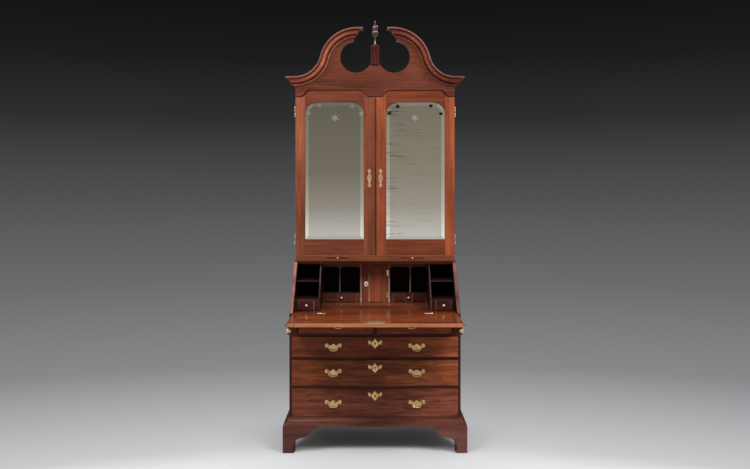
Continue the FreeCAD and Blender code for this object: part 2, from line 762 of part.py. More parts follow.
loper_knob = knob("loper_knob", size.loper_knob_radius, size.loper_neck, size.loper_knob_stand,
                  ((loper_x[0] + loper_x[1]) / 2 - size.loper_knob_outward, loper_face,
                   (loper_z[0] + loper_z[1]) / 2))
node("loper_knob_left", [loper_knob])
node("loper_knob_right", [mirrored(loper_knob)])

# Desk interior: step, partitions, shelves and valances
size.thin_board = 8
size.thin_shelf = 6
size.step_height = 15
size.step_front = 231
size.centre_face = 390
size.outer_place = 323
size.middle_place = 215
size.inner_place = 88
size.end_face = 105
size.end_drawer_height = 64
size.end_shelf_face = 192
size.edge_top_face = 292
size.edge_top_drop = 7
size.edge_wave = 240
size.small_drawer_height = 53
size.valance_depth = 46
size.valance_corner = 20
size.prospect_rail = 20
size.jamb_width = 10
size.jamb_thick = 14
interior_height = desk_under - size.writing_height
wave_low = size.end_drawer_height + size.thin_shelf
wave_high = interior_height - size.edge_top_drop
inner_depth = size.case_depth - size.back_board
edge_outline = [(size.end_face, 0), (inner_depth, 0), (inner_depth, interior_height),
                (size.edge_top_face, interior_height),
                (size.edge_top_face, wave_high, size.edge_wave, 1),
                ((size.edge_top_face + size.end_face) / 2, (wave_high + wave_low) / 2, size.edge_wave, -1),
                (size.end_face, wave_low)]
outer_left = -size.outer_place - size.thin_board / 2
outer_right = -size.outer_place + size.thin_board / 2
outer_partition = shaped("outer_partition", "YZ", edge_outline, size.thin_board,
                         (outer_left, front, size.writing_height))
step_top = size.writing_height + size.step_height
shelf_bottom = step_top + size.small_drawer_height
shelf_top = shelf_bottom + size.thin_shelf
centre_y = (front + size.centre_face, inner_back)
inner_partition = board("inner_partition",
                        (-size.inner_place - size.thin_board / 2, -size.inner_place + size.thin_board / 2),
                        centre_y,
                        (step_top, desk_under))
middle_divider = board("middle_divider",
                       (-size.middle_place - size.thin_board / 2, -size.middle_place + size.thin_board / 2),
                       centre_y,
                       (shelf_top, desk_under))
node("pigeonhole_partitions", both([outer_partition, inner_partition, middle_divider]))

end_x = (-inner_case, outer_left)
end_top = size.writing_height + size.end_drawer_height
end_middle = (end_top + size.thin_shelf + desk_under) / 2
small_x = (outer_right, -size.inner_place - size.thin_board / 2)
step_board = board("step_board", (outer_right, -outer_right), (front + size.step_front, inner_back),
                   (size.writing_height, step_top))
small_shelf = board("small_shelf", small_x, centre_y, (shelf_bottom, shelf_top))
end_shelf = board("end_shelf", end_x, (front + size.end_face, inner_back),
                  (end_top, end_top + size.thin_shelf))
upper_end_shelf = board("upper_end_shelf", end_x, (front + size.end_shelf_face, inner_back),
                        (end_middle - size.thin_shelf / 2, end_middle + size.thin_shelf / 2))
node("pigeonhole_shelves", [step_board] + both([small_shelf, end_shelf, upper_end_shelf]))

jamb_inner = size.inner_place - size.thin_board / 2 - size.jamb_width
jamb = board("jamb", (-size.inner_place + size.thin_board / 2, -jamb_inner),
             (front + size.centre_face, front + size.centre_face + size.jamb_thick),
             (step_top, desk_under - size.prospect_rail))
prospect_head = board("prospect_head",
                      (-size.inner_place + size.thin_board / 2, size.inner_place - size.thin_board / 2),
                      (front + size.centre_face, front + size.centre_face + size.jamb_thick),
                      (desk_under - size.prospect_rail, desk_under))


def valance(name, left, right):
    """Board across the head of a pigeonhole, with a flat arch that is round at both ends."""
    width = right - left
    corner = size.valance_corner
    outline = [(0, 0, corner, -1), (corner, corner), (width - corner, corner, corner, -1), (width, 0),
               (width, size.valance_depth), (0, size.valance_depth)]
    return shaped(name, "XZ", outline, size.thin_board,
                  (left, front + size.centre_face + size.thin_board, desk_under - size.valance_depth))


valances = [valance("outer_valance", outer_right, -size.middle_place - size.thin_board / 2),
            valance("inner_valance", -size.middle_place + size.thin_board / 2,
                    -size.inner_place - size.thin_board / 2)]
node("pigeonhole_valances", [prospect_head] + both([jamb] + valances))

# Small interior drawers, each with a turned knob
size.small_play = 0.8
size.small_front = 11
size.small_side = 6
size.small_knob_radius = 8
size.small_knob_stand = 14
size.small_neck = 3.2
size.small_drawer_depth = 160
size.end_drawer_depth = 230


def small_drawer(name, x, face, z, depth):
    """Flush drawer in the opening x by z, with a knob in the middle of its front."""
    wide = (x[0] + size.small_play, x[1] - size.small_play)
    tall = (z[0] + size.small_play, z[1] - size.small_play)
    inner = (wide[0] + size.small_side, wide[1] - size.small_side)
    behind = face + size.small_front
    end = face + depth
    middle = ((wide[0] + wide[1]) / 2, face, (tall[0] + tall[1]) / 2)
    return [board(name + "_front_board", wide, (face, behind), tall),
            board(name + "_left_board", (wide[0], inner[0]), (behind, end),
                  (tall[0], tall[1] - size.small_side)),
            board(name + "_right_board", (inner[1], wide[1]), (behind, end),
                  (tall[0], tall[1] - size.small_side)),
            board(name + "_floor_board", inner, (behind, end), (tall[0], tall[0] + size.small_side)),
            board(name + "_back_board", inner, (end - size.small_side, end),
                  (tall[0] + size.small_side, tall[1] - size.small_side)),
            knob(name + "_knob", size.small_knob_radius, size.small_neck, size.small_knob_stand, middle)]


small_boards = small_drawer("small_drawer", small_x, front + size.centre_face + size.small_play,
                            (step_top, shelf_bottom),
                            size.small_drawer_depth)
node("small_drawer_left", small_boards)
node("small_drawer_right", [mirrored(item) for item in small_boards])
end_boards = small_drawer("end_drawer", end_x, front + size.end_face + size.small_play,
                          (size.writing_height, end_top),
                          size.end_drawer_depth)
node("end_drawer_left", end_boards)
node("end_drawer_right", [mirrored(item) for item in end_boards])

# Prospect door on two surface hinges at its right-hand edge
size.prospect_play = 1.5
size.prospect_hinge_play = 0.6
size.prospect_thick = 14
size.prospect_knuckle = 2.2
size.prospect_pin = 1
size.prospect_leaf = 8
size.prospect_leaf_thick = 1.2
size.prospect_hinge_tall = 30
size.prospect_hinge_inset = 28
size.prospect_plate_wide = 25
size.prospect_plate_tall = 40
size.prospect_plate_inset = 18
prospect_face = front + size.centre_face
prospect_x = (-jamb_inner + size.prospect_play, jamb_inner - size.prospect_hinge_play)
prospect_z = (step_top + size.small_play, desk_under - size.prospect_rail - size.small_play)
node("prospect_door",
     [board("prospect_panel", prospect_x, (prospect_face, prospect_face + size.prospect_thick),
            prospect_z)])
prospect_axis_x = jamb_inner - size.prospect_hinge_play / 2
prospect_axis_y = prospect_face - size.prospect_knuckle
prospect_third = size.prospect_hinge_tall / 3
prospect_away = size.prospect_knuckle + size.knuckle_clear
fixed_hinges = []
moving_hinges = []
for place_name, hinge_bottom in (("low", prospect_z[0] + size.prospect_hinge_inset),
                                 ("high",
                                  prospect_z[1] - size.prospect_hinge_inset - size.prospect_hinge_tall)):
    name = "prospect_" + place_name
    hinge_top = hinge_bottom + size.prospect_hinge_tall
    leaf_y = (prospect_face - size.prospect_leaf_thick, prospect_face)
    low_span = (hinge_bottom, hinge_bottom + prospect_third - size.knuckle_gap)
    high_span = (hinge_top - prospect_third + size.knuckle_gap, hinge_top)
    middle_span = (hinge_bottom + prospect_third, hinge_top - prospect_third)
    whole_span = (hinge_bottom, hinge_top)
    axis = (prospect_axis_x, prospect_axis_y)
    leaf_x = (prospect_axis_x + prospect_away, prospect_axis_x + prospect_away + size.prospect_leaf)
    fixed = [board(name + "_jamb_leaf", leaf_x, leaf_y, whole_span)]
    for end_name, span in (("foot", low_span), ("head", high_span)):
        fixed.append(board(f"{name}_{end_name}_tab", (prospect_axis_x, leaf_x[0]), leaf_y, span))
        fixed.append(rod(f"{name}_{end_name}_knuckle", "z", size.prospect_knuckle, axis + (span[0],),
                         span[1] - span[0]))
    fixed.append(rod(name + "_pin", "z", size.prospect_pin, axis + (hinge_bottom,),
                     size.prospect_hinge_tall))
    fixed_hinges.append(fused(name + "_fixed", fixed))
    swing_x = (prospect_axis_x - prospect_away - size.prospect_leaf * 2, prospect_axis_x - prospect_away)
    swing = [board(name + "_door_leaf", swing_x, leaf_y, whole_span),
             board(name + "_door_tab", (swing_x[1], prospect_axis_x), leaf_y, middle_span),
             rod(name + "_door_knuckle", "z", size.prospect_knuckle, axis + (middle_span[0],),
                 prospect_third)]
    bore = rod(name + "_bore", "z", size.prospect_pin + size.pin_play, axis + (middle_span[0],),
               prospect_third)
    moving_hinges.append(cut(name + "_moving", fused(name + "_moving_solid", swing), [bore]))
oval_x = prospect_x[0] + size.prospect_plate_inset
oval_z = (prospect_z[0] + prospect_z[1]) / 2
oval_wide = size.prospect_plate_wide / 2
oval_tall = size.prospect_plate_tall / 2
oval_bend = (oval_wide * oval_wide + oval_tall * oval_tall) / (oval_wide * 2)
oval = shaped("oval", "XZ", [(0, -oval_tall, oval_bend, 1), (0, oval_tall, oval_bend, 1)], size.plate_thick,
              (oval_x, prospect_face, oval_z))
oval_hole = keyhole("oval_keyhole", oval_x, prospect_face + size.plate_thick,
                    oval_z + size.keyhole_slot / 2, size.plate_thick * 3)
node("prospect_brasses", moving_hinges + [cut("oval_cut", oval, [oval_hole])])

# Bookcase carcase above the desk
size.bookcase_width = 950
size.bookcase_setback = 8
size.bookcase_board = 20
size.front_layer = 22
size.candle_rail_height = 34
size.cornice_level = 2096
size.cornice_height = 51
size.cornice_reach = 54
size.cornice_cover = 6
size.shelf_board = 18
size.candle_space = 24
size.lower_shelf_level = 1420
size.upper_shelf_level = 1750
size.shelf_setback = 8
half_bookcase = size.bookcase_width / 2
inner_bookcase = half_bookcase - size.bookcase_board
upper_face = front + bevel_sum - size.desk_height + size.bookcase_setback
layer_back = upper_face + size.front_layer
bookcase_top = size.cornice_level + size.cornice_height - size.cornice_cover
bookcase_side = board("bookcase_side", (-half_bookcase, -inner_bookcase), (layer_back, case_back),
                      (size.desk_height, bookcase_top))
node("bookcase_sides", both([bookcase_side]))
inside = (-inner_bookcase, inner_bookcase)
bookcase_floor = size.desk_height + size.candle_space
bookcase_back = board("bookcase_back_panel", inside, (inner_back, case_back),
                      (size.desk_height, bookcase_top))
node("bookcase_back", [bookcase_back])
bookcase_y = (layer_back, inner_back)
shelf_y = (layer_back + size.shelf_setback, inner_back)
node("bookcase_boards", [
    board("bookcase_bottom", inside, bookcase_y, (bookcase_floor, bookcase_floor + size.shelf_board)),
    board("bookcase_roof", inside, bookcase_y, (bookcase_top - size.shelf_board, bookcase_top)),
    board("lower_shelf", inside, shelf_y,
          (size.lower_shelf_level, size.lower_shelf_level + size.shelf_board)),
    board("upper_shelf", inside, shelf_y,
          (size.upper_shelf_level, size.upper_shelf_level + size.shelf_board))])

# Candle rail with two slides on guides
size.slide_place = 223
size.slide_width = 137
size.slide_thick = 13
size.slide_rise = 10
size.slide_play = 0.5
size.slide_back_space = 50
size.guide_width = 20
size.candle_knob_radius = 5
size.candle_knob_stand = 11
size.candle_neck = 2.2
slide_x = (-size.slide_place - size.slide_width / 2, -size.slide_place + size.slide_width / 2)
slide_z = (size.desk_height + size.slide_rise, size.desk_height + size.slide_rise + size.slide_thick)
slot_x = (slide_x[0] - size.slide_play, slide_x[1] + size.slide_play)
slot = board("candle_slot", slot_x, (upper_face, layer_back),
             (slide_z[0] - size.slide_play, slide_z[1] + size.slide_play))
rail = board("candle_front", (-half_bookcase, half_bookcase), (upper_face, layer_back),
             (size.desk_height, size.desk_height + size.candle_rail_height))
slide_end = inner_back - size.slide_back_space
guide_y = (layer_back, slide_end)
guide_z = (size.desk_height, slide_z[0] - size.slide_play)
guides = [board("outer_guide", (slide_x[0], slide_x[0] + size.guide_width), guide_y, guide_z),
          board("inner_guide", (slide_x[1] - size.guide_width, slide_x[1]), guide_y, guide_z)]
node("candle_rail", [cut("candle_rail_cut", rail, both([slot]))] + both(guides))
slide = board("candle_slide", slide_x, (upper_face, slide_end), slide_z)
node("candle_slide_left", [slide])
node("candle_slide_right", [mirrored(slide)])
candle_knob = knob("candle_knob", size.candle_knob_radius, size.candle_neck, size.candle_knob_stand,
                   (-size.slide_place, upper_face, (slide_z[0] + slide_z[1]) / 2))
node("candle_knob_left", [candle_knob])
node("candle_knob_right", [mirrored(candle_knob)])

# Doors: shaped frames of two stiles and two rails, rebated for a mirror plate and its backboard
size.door_gap = 2
size.door_seat = 0.5
size.door_top = 2070
size.shoulder_drop = 38
size.shoulder_flat = 32
size.shoulder_curve = 60
size.outer_stile = 56
size.inner_stile = 65
size.bottom_rail = 90
size.top_rail = 68
size.sight_round = 66
size.sight_step = 4
size.sight_lip = 8
size.rebate = 8
size.plate_play = 1
size.mirror_thick = 5
size.bevel_width = 25
size.bevel_depth = 1.8
size.backing_thick = 8
door_bottom = size.desk_height + size.candle_rail_height + size.door_gap
door_outer = half_bookcase
door_inner = size.door_gap / 2
door_back = layer_back - size.door_seat
door_thick = size.front_layer - size.door_seat
shoulder = size.door_top - size.shoulder_drop
half_curve = size.shoulder_curve / 2
half_drop = size.shoulder_drop / 2
curve_bend = (half_curve * half_curve + half_drop * half_drop) / (half_drop * 2)
inner_flat = door_inner + size.shoulder_flat
door_outline = [
    (-door_outer, door_bottom), (-door_inner, door_bottom), (-door_inner, shoulder),
    (-inner_flat, shoulder, curve_bend, -1),
    (-inner_flat - half_curve, shoulder + half_drop, curve_bend, 1),
    (-inner_flat - size.shoulder_curve, size.door_top),
    (-door_outer + size.shoulder_flat + size.shoulder_curve, size.door_top, curve_bend, 1),
    (-door_outer + size.shoulder_flat + half_curve, shoulder + half_drop, curve_bend, -1),
    (-door_outer + size.shoulder_flat, shoulder), (-door_outer, shoulder)]
door_blank = shaped("door_blank", "XZ", door_outline, door_thick, (0, door_back, 0))
sight_x = (-door_outer + size.outer_stile, -door_inner - size.inner_stile)
sight_z = (door_bottom + size.bottom_rail, size.door_top - size.top_rail)
spring = sight_z[1] - size.sight_step - size.sight_round


def sight_outline(grow):
    """Round-cornered mirror outline, larger all round by grow."""
    bend = size.sight_round + grow
    return [(sight_x[0] - grow, sight_z[0] - grow), (sight_x[1] + grow, sight_z[0] - grow),
            (sight_x[1] + grow, spring, bend, 1), (sight_x[1] - size.sight_round, spring + bend),
            (sight_x[0] + size.sight_round, spring + bend, bend, 1), (sight_x[0] - grow, spring)]


nothing = as_size(0)
sight_cut = shaped("sight_cut", "XZ", sight_outline(nothing), door_thick, (0, door_back, 0))
step_cut = board("step_cut", (sight_x[0] + size.sight_round, sight_x[1] - size.sight_round),
                 (upper_face, door_back), (sight_z[1] - size.sight_step, sight_z[1]))
rebate_cut = shaped("rebate_cut", "XZ", sight_outline(size.rebate), door_thick - size.sight_lip,
                    (0, door_back, 0))
door_frame = cut("door_frame", door_blank, [sight_cut, step_cut, rebate_cut])
door_y = (upper_face, door_back)
member_ends = (("outer_stile_region", (-door_outer, sight_x[0]), (door_bottom, size.door_top)),
               ("inner_stile_region", (sight_x[1], -door_inner), (door_bottom, size.door_top)),
               ("bottom_rail_region", sight_x, (door_bottom, sight_z[0])),
               ("top_rail_region", sight_x, (spring, size.door_top)))
members = [shared(name + "_member", door_frame, board(name, x, door_y, z)) for name, x, z in member_ends]
node("door_frame_left", members)
node("door_frame_right", [mirrored(item) for item in members])
plate_grow = size.rebate - size.plate_play
mirror_back = upper_face + size.sight_lip + size.mirror_thick
mirror = shaped("mirror", "XZ", sight_outline(plate_grow), size.mirror_thick, (0, mirror_back, 0))
document.recompute([mirror], True)
mirror_face = mirror.Tip
bevel = mirror.newObject("PartDesign::Chamfer", "mirror_bevel")
bevel.Base = (mirror_face, front_edges(mirror_face.Shape, -size.mirror_thick.number))
bevel.ChamferType = "Two distances"
bind(bevel, "Size", size.bevel_depth)
bind(bevel, "Size2", size.bevel_width)
node("mirror_left", [mirror])
node("mirror_right", [mirrored(mirror)])
backing = shaped("backing", "XZ", sight_outline(plate_grow), size.backing_thick,
                 (0, mirror_back + size.backing_thick, 0))
node("backing_left", [backing])
node("backing_right", [mirrored(backing)])

# Door hinges on the outer sides, and the keyhole plates
size.door_hinge_tall = 62
size.door_hinge_low = 62
size.door_hinge_high = 58
size.door_leaf = 17
size.door_leaf_thick = 2
size.door_knuckle = 4
size.door_pin = 1.6
size.door_key_tall = 113
size.door_key_wide = 25
size.door_key_level = 1545
door_axis_x = -half_bookcase - size.door_knuckle
door_axis_y = layer_back
door_third = size.door_hinge_tall / 3
door_away = size.door_knuckle + size.knuckle_clear
door_hinge_x = (-half_bookcase - size.door_leaf_thick, -half_bookcase)
case_hinges = []
door_hinges = []
for place_name, hinge_bottom in (("low", door_bottom + size.door_hinge_low),
                                 ("high", shoulder - size.door_hinge_high - size.door_hinge_tall)):
    name = "door_" + place_name
    hinge_top = hinge_bottom + size.door_hinge_tall
    low_span = (hinge_bottom, hinge_bottom + door_third - size.knuckle_gap)
    high_span = (hinge_top - door_third + size.knuckle_gap, hinge_top)
    middle_span = (hinge_bottom + door_third, hinge_top - door_third)
    whole_span = (hinge_bottom, hinge_top)
    axis = (door_axis_x, door_axis_y)
    case_leaf_y = (door_axis_y + door_away, door_axis_y + door_away + size.door_leaf)
    fixed = [board(name + "_case_leaf", door_hinge_x, case_leaf_y, whole_span)]
    for end_name, span in (("foot", low_span), ("head", high_span)):
        fixed.append(board(f"{name}_{end_name}_tab", door_hinge_x, (door_axis_y, case_leaf_y[0]), span))
        fixed.append(rod(f"{name}_{end_name}_knuckle", "z", size.door_knuckle, axis + (span[0],),
                         span[1] - span[0]))
    fixed.append(rod(name + "_pin", "z", size.door_pin, axis + (hinge_bottom,), size.door_hinge_tall))
    case_hinges.append(fused(name + "_fixed", fixed))
    swing_y = (door_axis_y - door_away - size.door_leaf, door_axis_y - door_away)
    swing = [board(name + "_door_leaf", door_hinge_x, swing_y, whole_span),
             board(name + "_door_tab", door_hinge_x, (swing_y[1], door_axis_y), middle_span),
             rod(name + "_door_knuckle", "z", size.door_knuckle, axis + (middle_span[0],), door_third)]
    bore = rod(name + "_bore", "z", size.door_pin + size.pin_play, axis + (middle_span[0],), door_third)
    door_hinges.append(cut(name + "_moving", fused(name + "_moving_solid", swing), [bore]))
key_x = -door_inner - size.inner_stile / 2
key_half = size.door_key_wide / 2
key_tall = size.door_key_tall / 2
door_key_right = [(key_half * 0, -key_tall), (key_half * 0.55, -key_tall * 0.88),
                  (key_half * 0.78, -key_tall * 0.72),
                  (key_half * 0.36, -key_tall * 0.46), (key_half, key_half * 0),
                  (key_half * 0.36, key_tall * 0.46),
                  (key_half * 0.78, key_tall * 0.72), (key_half * 0.55, key_tall * 0.88),
                  (key_half * 0, key_tall)]
door_key_bends = [(key_half, 1), (key_half * 0.62, 1), (key_tall, -1), (key_tall, 1), (key_tall, 1),
                  (key_tall, -1), (key_half * 0.62, 1), (key_half, 1)]
door_key_left = [(-corner[0], corner[1]) for corner in door_key_right[::-1]]
door_key_outline = [corner + bend for corner, bend in zip(door_key_right, door_key_bends)]
door_key_outline += [corner + bend for corner, bend in zip(door_key_left, door_key_bends[::-1])]
door_key = shaped("door_key", "XZ", door_key_outline, size.plate_thick,
                  (key_x, upper_face, size.door_key_level))
door_keyhole = keyhole("door_keyhole", key_x, upper_face + size.plate_thick,
                       size.door_key_level + size.keyhole_slot / 2,
                       size.plate_thick * 3)
door_plates = door_hinges + [cut("door_key_cut", door_key, [door_keyhole])]
node("door_brasses_left", door_plates)
node("door_brasses_right", [mirrored(item) for item in door_plates])
node("hinge_plates", both([board_hinge] + case_hinges) + fixed_hinges)

# Tympanum with two circles that open upwards, a middle post and a fluted plinth
size.door_sweep = 7
size.circle_place = 114
size.circle_level = 2269
size.circle_radius = 94
size.neck_end = 126
size.neck_apex = 106
size.neck_level = 2386
size.neck_lower_bend = 205
size.post_half = 25
size.post_top = 2337
size.plinth_bottom = 2226
size.plinth_thick = 12
size.flute_radius = 3.2
size.flute_margin = 10
size.tympanum_cover = 10
run = half_bookcase - size.neck_apex
rise = size.neck_level - size.cornice_level
neck_upper_bend = (run * run + rise * rise) / (rise * 2) - size.neck_lower_bend
slant = rise / run
slant_sine = slant * 2 / (slant * slant + 1)
slant_cosine = (as_size(1) - slant * slant) / (slant * slant + 1)
lift = size.cornice_height - size.tympanum_cover


def neck_turn(offset):
    """Point where the two bends of the swan neck meet, offset upwards from the lower edge."""
    bend = size.neck_lower_bend - offset
    return (-half_bookcase + bend * slant_sine,
            size.cornice_level + size.neck_lower_bend - bend * slant_cosine)


upper_bend = neck_upper_bend + lift
neck_offset = size.neck_end - size.neck_apex
neck_top = size.neck_level - neck_upper_bend + (upper_bend * upper_bend - neck_offset * neck_offset).root()
circle_left = size.neck_end - size.circle_place
neck_under = size.circle_level + (size.circle_radius * size.circle_radius - circle_left * circle_left).root()
post_away = size.circle_place - size.post_half
post_meets = size.circle_level + (size.circle_radius * size.circle_radius - post_away * post_away).root()
turn_point = neck_turn(lift)
sweep_flat = half_bookcase - size.shoulder_flat + size.door_sweep
left_half = [
    (-size.post_half, size.post_top), (-size.post_half, post_meets, size.circle_radius, -1),
    (-size.circle_place, size.circle_level - size.circle_radius, size.circle_radius, -1),
    (-size.circle_place - size.circle_radius, size.circle_level, size.circle_radius, -1),
    (-size.neck_end, neck_under), (-size.neck_end, neck_top, upper_bend, 1),
    (turn_point[0], turn_point[1], size.neck_lower_bend - lift, -1),
    (-half_bookcase, size.cornice_level + lift), (-half_bookcase, shoulder + size.door_gap),
    (-sweep_flat, shoulder + size.door_gap, curve_bend, 1),
    (-sweep_flat + half_curve, shoulder + half_drop + size.door_gap, curve_bend, -1),
    (-sweep_flat + size.shoulder_curve, size.door_top + size.door_gap),
    (-inner_flat - size.shoulder_curve, size.door_top + size.door_gap, curve_bend, -1),
    (-inner_flat - half_curve, shoulder + half_drop + size.door_gap, curve_bend, 1),
    (-inner_flat, shoulder + size.door_gap)]
right_half = []
for index in range(len(left_half) - 1, -1, -1):
    corner = (-left_half[index][0], left_half[index][1])
    before = left_half[index - 1] if index else ()
    if len(before) == 4:
        corner += (before[2], before[3])
    right_half.append(corner)
tympanum = shaped("tympanum_board", "XZ", left_half + right_half, size.front_layer, (0, layer_back, 0))
plinth_y = (upper_face - size.plinth_thick, upper_face)
plinth = board("plinth", (-size.post_half, size.post_half), plinth_y, (size.plinth_bottom, size.post_top))
flutes = []
flute_space = (size.post_half - size.flute_margin) * 2 / 3
for index in range(4):
    flute_x = -size.post_half + size.flute_margin + flute_space * index
    flutes.append(rod(f"flute_{index}", "z", size.flute_radius,
                      (flute_x, plinth_y[0], size.plinth_bottom + size.flute_margin),
                      size.post_top - size.plinth_bottom - size.flute_margin * 2))
plinth_rear = board("plinth_rear", (-size.post_half, size.post_half),
                    (layer_back, layer_back + size.plinth_thick),
                    (size.plinth_bottom, size.post_top))
node("tympanum", [tympanum, cut("plinth_fluted", plinth, flutes), plinth_rear])

# Swan-neck cornice: curved front lengths with mitred returns along the sides and at the inner ends
size.cornice_bead = 4
size.cornice_bead_reach = 10
size.cornice_fillet = 9
size.cornice_lip = 7
size.cornice_cyma_low = 12
size.cornice_cyma_start = 8
size.cornice_bend = 19


def cornice_section(way):
    """Section of the cornice: astragal, cyma and top fillet, standing out in the direction way."""
    cyma_end = size.cornice_reach - size.cornice_lip
    cyma_top = size.cornice_height - size.cornice_fillet
    middle = ((size.cornice_cyma_start + cyma_end) / 2 * way, (size.cornice_cyma_low + cyma_top) / 2)
    bead_top = size.cornice_bead * 2
    bead_root = (size.cornice_bead_reach - size.cornice_bead) * way
    return [(0, 0), (bead_root, 0, size.cornice_bead, way),
            (size.cornice_bead_reach * way, size.cornice_bead, size.cornice_bead, way),
            (bead_root, bead_top), (bead_root, size.cornice_cyma_low),
            (size.cornice_cyma_start * way, size.cornice_cyma_low, size.cornice_bend, way),
            middle + (size.cornice_bend, -way), (cyma_end * way, cyma_top),
            (size.cornice_reach * way, cyma_top), (size.cornice_reach * way, size.cornice_height),
            (0, size.cornice_height)]


cornice_out = half_bookcase + size.cornice_reach
inner_tip = size.neck_end - size.cornice_reach
lower_turn = neck_turn(nothing)
neck_path = [(-cornice_out, size.cornice_level),
             (-half_bookcase, size.cornice_level, size.neck_lower_bend, 1),
             (lower_turn[0], lower_turn[1], neck_upper_bend, -1), (-size.neck_apex, size.neck_level),
             (-inner_tip, size.neck_level)]
neck_blank = swept("neck_blank", neck_path, (0, upper_face, 0), cornice_section(-1),
                   (-cornice_out, upper_face, size.cornice_level))
tip_face = upper_face - size.cornice_reach
cornice_rise = size.neck_level + size.cornice_height - size.cornice_level
neck_mitre = shaped("neck_mitre", "XY", [(-half_bookcase, upper_face), (-cornice_out, tip_face),
                                         (-inner_tip, tip_face), (-size.neck_end, upper_face)],
                    cornice_rise + size.cornice_height,
                    (0, 0, size.cornice_level - size.cornice_height / 2))
return_blank = shaped("return_blank", "XZ", cornice_section(-1), case_back - tip_face,
                      (-half_bookcase, case_back, size.cornice_level))
return_mitre = shaped("return_mitre", "XY", [(-half_bookcase, upper_face), (-half_bookcase, case_back),
                                             (-cornice_out, case_back), (-cornice_out, tip_face)],
                      size.cornice_height, (0, 0, size.cornice_level))
end_blank = shaped("end_blank", "XZ", cornice_section(1), layer_back - tip_face,
                   (-size.neck_end, layer_back, size.neck_level))
end_mitre = shaped("end_mitre", "XY",
                   [(-size.neck_end, upper_face), (-inner_tip, tip_face), (-inner_tip, layer_back),
                                       (-size.neck_end, layer_back)], size.cornice_height,
                                       (0, 0, size.neck_level))
node("cornice", both([shared("neck_length", neck_blank, neck_mitre),
                      shared("return_length", return_blank, return_mitre),
                      shared("end_length", end_blank, end_mitre)]))

# Finial: turned foot and stem under a carved cup, crown and tip; tall sizes stack up from the post
size.finial_base = 17
size.finial_foot = 4
size.finial_stem = 5.5
size.finial_stem_tall = 40
size.finial_cup = 20
size.finial_cup_tall = 34
size.finial_waist = 14
size.finial_waist_tall = 14
size.finial_crown = 18.5
size.finial_crown_tall = 17
size.finial_neck = 5
size.finial_neck_tall = 22
size.finial_tip = 7
size.finial_tip_tall = 10
size.finial_point = 1.5
size.finial_point_tall = 12
stem_round = 1.8
tier_round = 0.75
finial_steps = ((size.finial_stem, size.finial_stem_tall, stem_round, -1),
                (size.finial_cup, size.finial_cup_tall, tier_round, 1),
                (size.finial_waist, size.finial_waist_tall, tier_round, 1),
                (size.finial_crown, size.finial_crown_tall, tier_round, 1),
                (size.finial_neck, size.finial_neck_tall, tier_round, 1),
                (size.finial_tip, size.finial_tip_tall, tier_round, 1),
                (size.finial_point, size.finial_point_tall, tier_round, 1))
finial_profile = [(0, 0), (size.finial_base, 0)]
tier_radius = size.finial_base
tier_level = size.finial_foot
for next_radius, tall, roundness, turn in finial_steps:
    step_out = next_radius - tier_radius
    bend = (step_out * step_out + tall * tall).root() * roundness
    finial_profile.append((tier_radius, tier_level, bend, turn))
    tier_radius = next_radius
    tier_level = tier_level + tall
finial_profile += [(tier_radius, tier_level), (0, tier_level)]
node("finial", [turned("finial_turning", "XZ", finial_profile,
                       (0, upper_face + size.front_layer / 2, size.post_top))])

document.recompute()
faults = [item.Name for item in document.Objects if "Invalid" in item.State or "Error" in item.State]
for item in nodes:
    shape = item.Shape
    if shape.isNull() or not shape.isValid() or not shape.Solids:
        faults.append(item.Label)
if faults:
    raise RuntimeError("not built: " + ", ".join(faults))

os.makedirs("parts", exist_ok=True)
for item in nodes:
    item.Shape.exportStep(f"parts/{item.Label}.step")
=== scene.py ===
"""Bureau bookcase: a mahogany slant-front desk on bracket feet under a bookcase with two mirrored doors."""
import math

import bmesh
import bpy
import numpy as np
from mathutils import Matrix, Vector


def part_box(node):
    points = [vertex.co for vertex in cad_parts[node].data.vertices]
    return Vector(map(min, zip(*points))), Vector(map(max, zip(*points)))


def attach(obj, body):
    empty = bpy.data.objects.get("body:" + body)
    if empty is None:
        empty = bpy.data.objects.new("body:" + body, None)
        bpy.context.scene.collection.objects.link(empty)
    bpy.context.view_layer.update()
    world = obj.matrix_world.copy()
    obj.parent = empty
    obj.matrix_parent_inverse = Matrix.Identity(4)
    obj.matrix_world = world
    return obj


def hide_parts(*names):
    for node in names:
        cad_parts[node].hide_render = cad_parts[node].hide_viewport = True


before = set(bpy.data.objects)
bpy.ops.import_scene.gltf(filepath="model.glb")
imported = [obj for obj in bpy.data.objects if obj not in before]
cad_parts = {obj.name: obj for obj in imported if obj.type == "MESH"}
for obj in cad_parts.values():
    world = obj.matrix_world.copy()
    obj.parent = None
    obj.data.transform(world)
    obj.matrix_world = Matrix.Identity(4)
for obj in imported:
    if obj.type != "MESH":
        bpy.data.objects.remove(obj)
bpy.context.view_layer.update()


# Bracket feet
# Two shaped mahogany brackets meet at each front corner, with pine glue blocks behind them.
# The grain runs along each bracket; the polish is thin and dull near the floor.
def fill(node, inputs):
    """Set inputs of a shader node: a value is set on the socket, another node's output is linked to it."""
    for socket, value in inputs.items():
        if isinstance(value, bpy.types.NodeSocket):
            node.id_data.links.new(value, node.inputs[socket])
        else:
            node.inputs[socket].default_value = value


def add_node(tree, kind, inputs, **settings):
    """New shader node of a kind with its settings, and its inputs filled."""
    node = tree.nodes.new("ShaderNode" + kind)
    for setting, value in settings.items():
        setattr(node, setting, value)
    fill(node, inputs)
    return node


def new_finish(name):
    """New material: itself, its node tree, its shader and the output with a point's place on the piece."""
    finish = bpy.data.materials.new(name)
    finish.use_nodes = True
    tree = finish.node_tree
    place = add_node(tree, "TexCoord", {}).outputs["Object"]
    return finish, tree, tree.nodes["Principled BSDF"], place


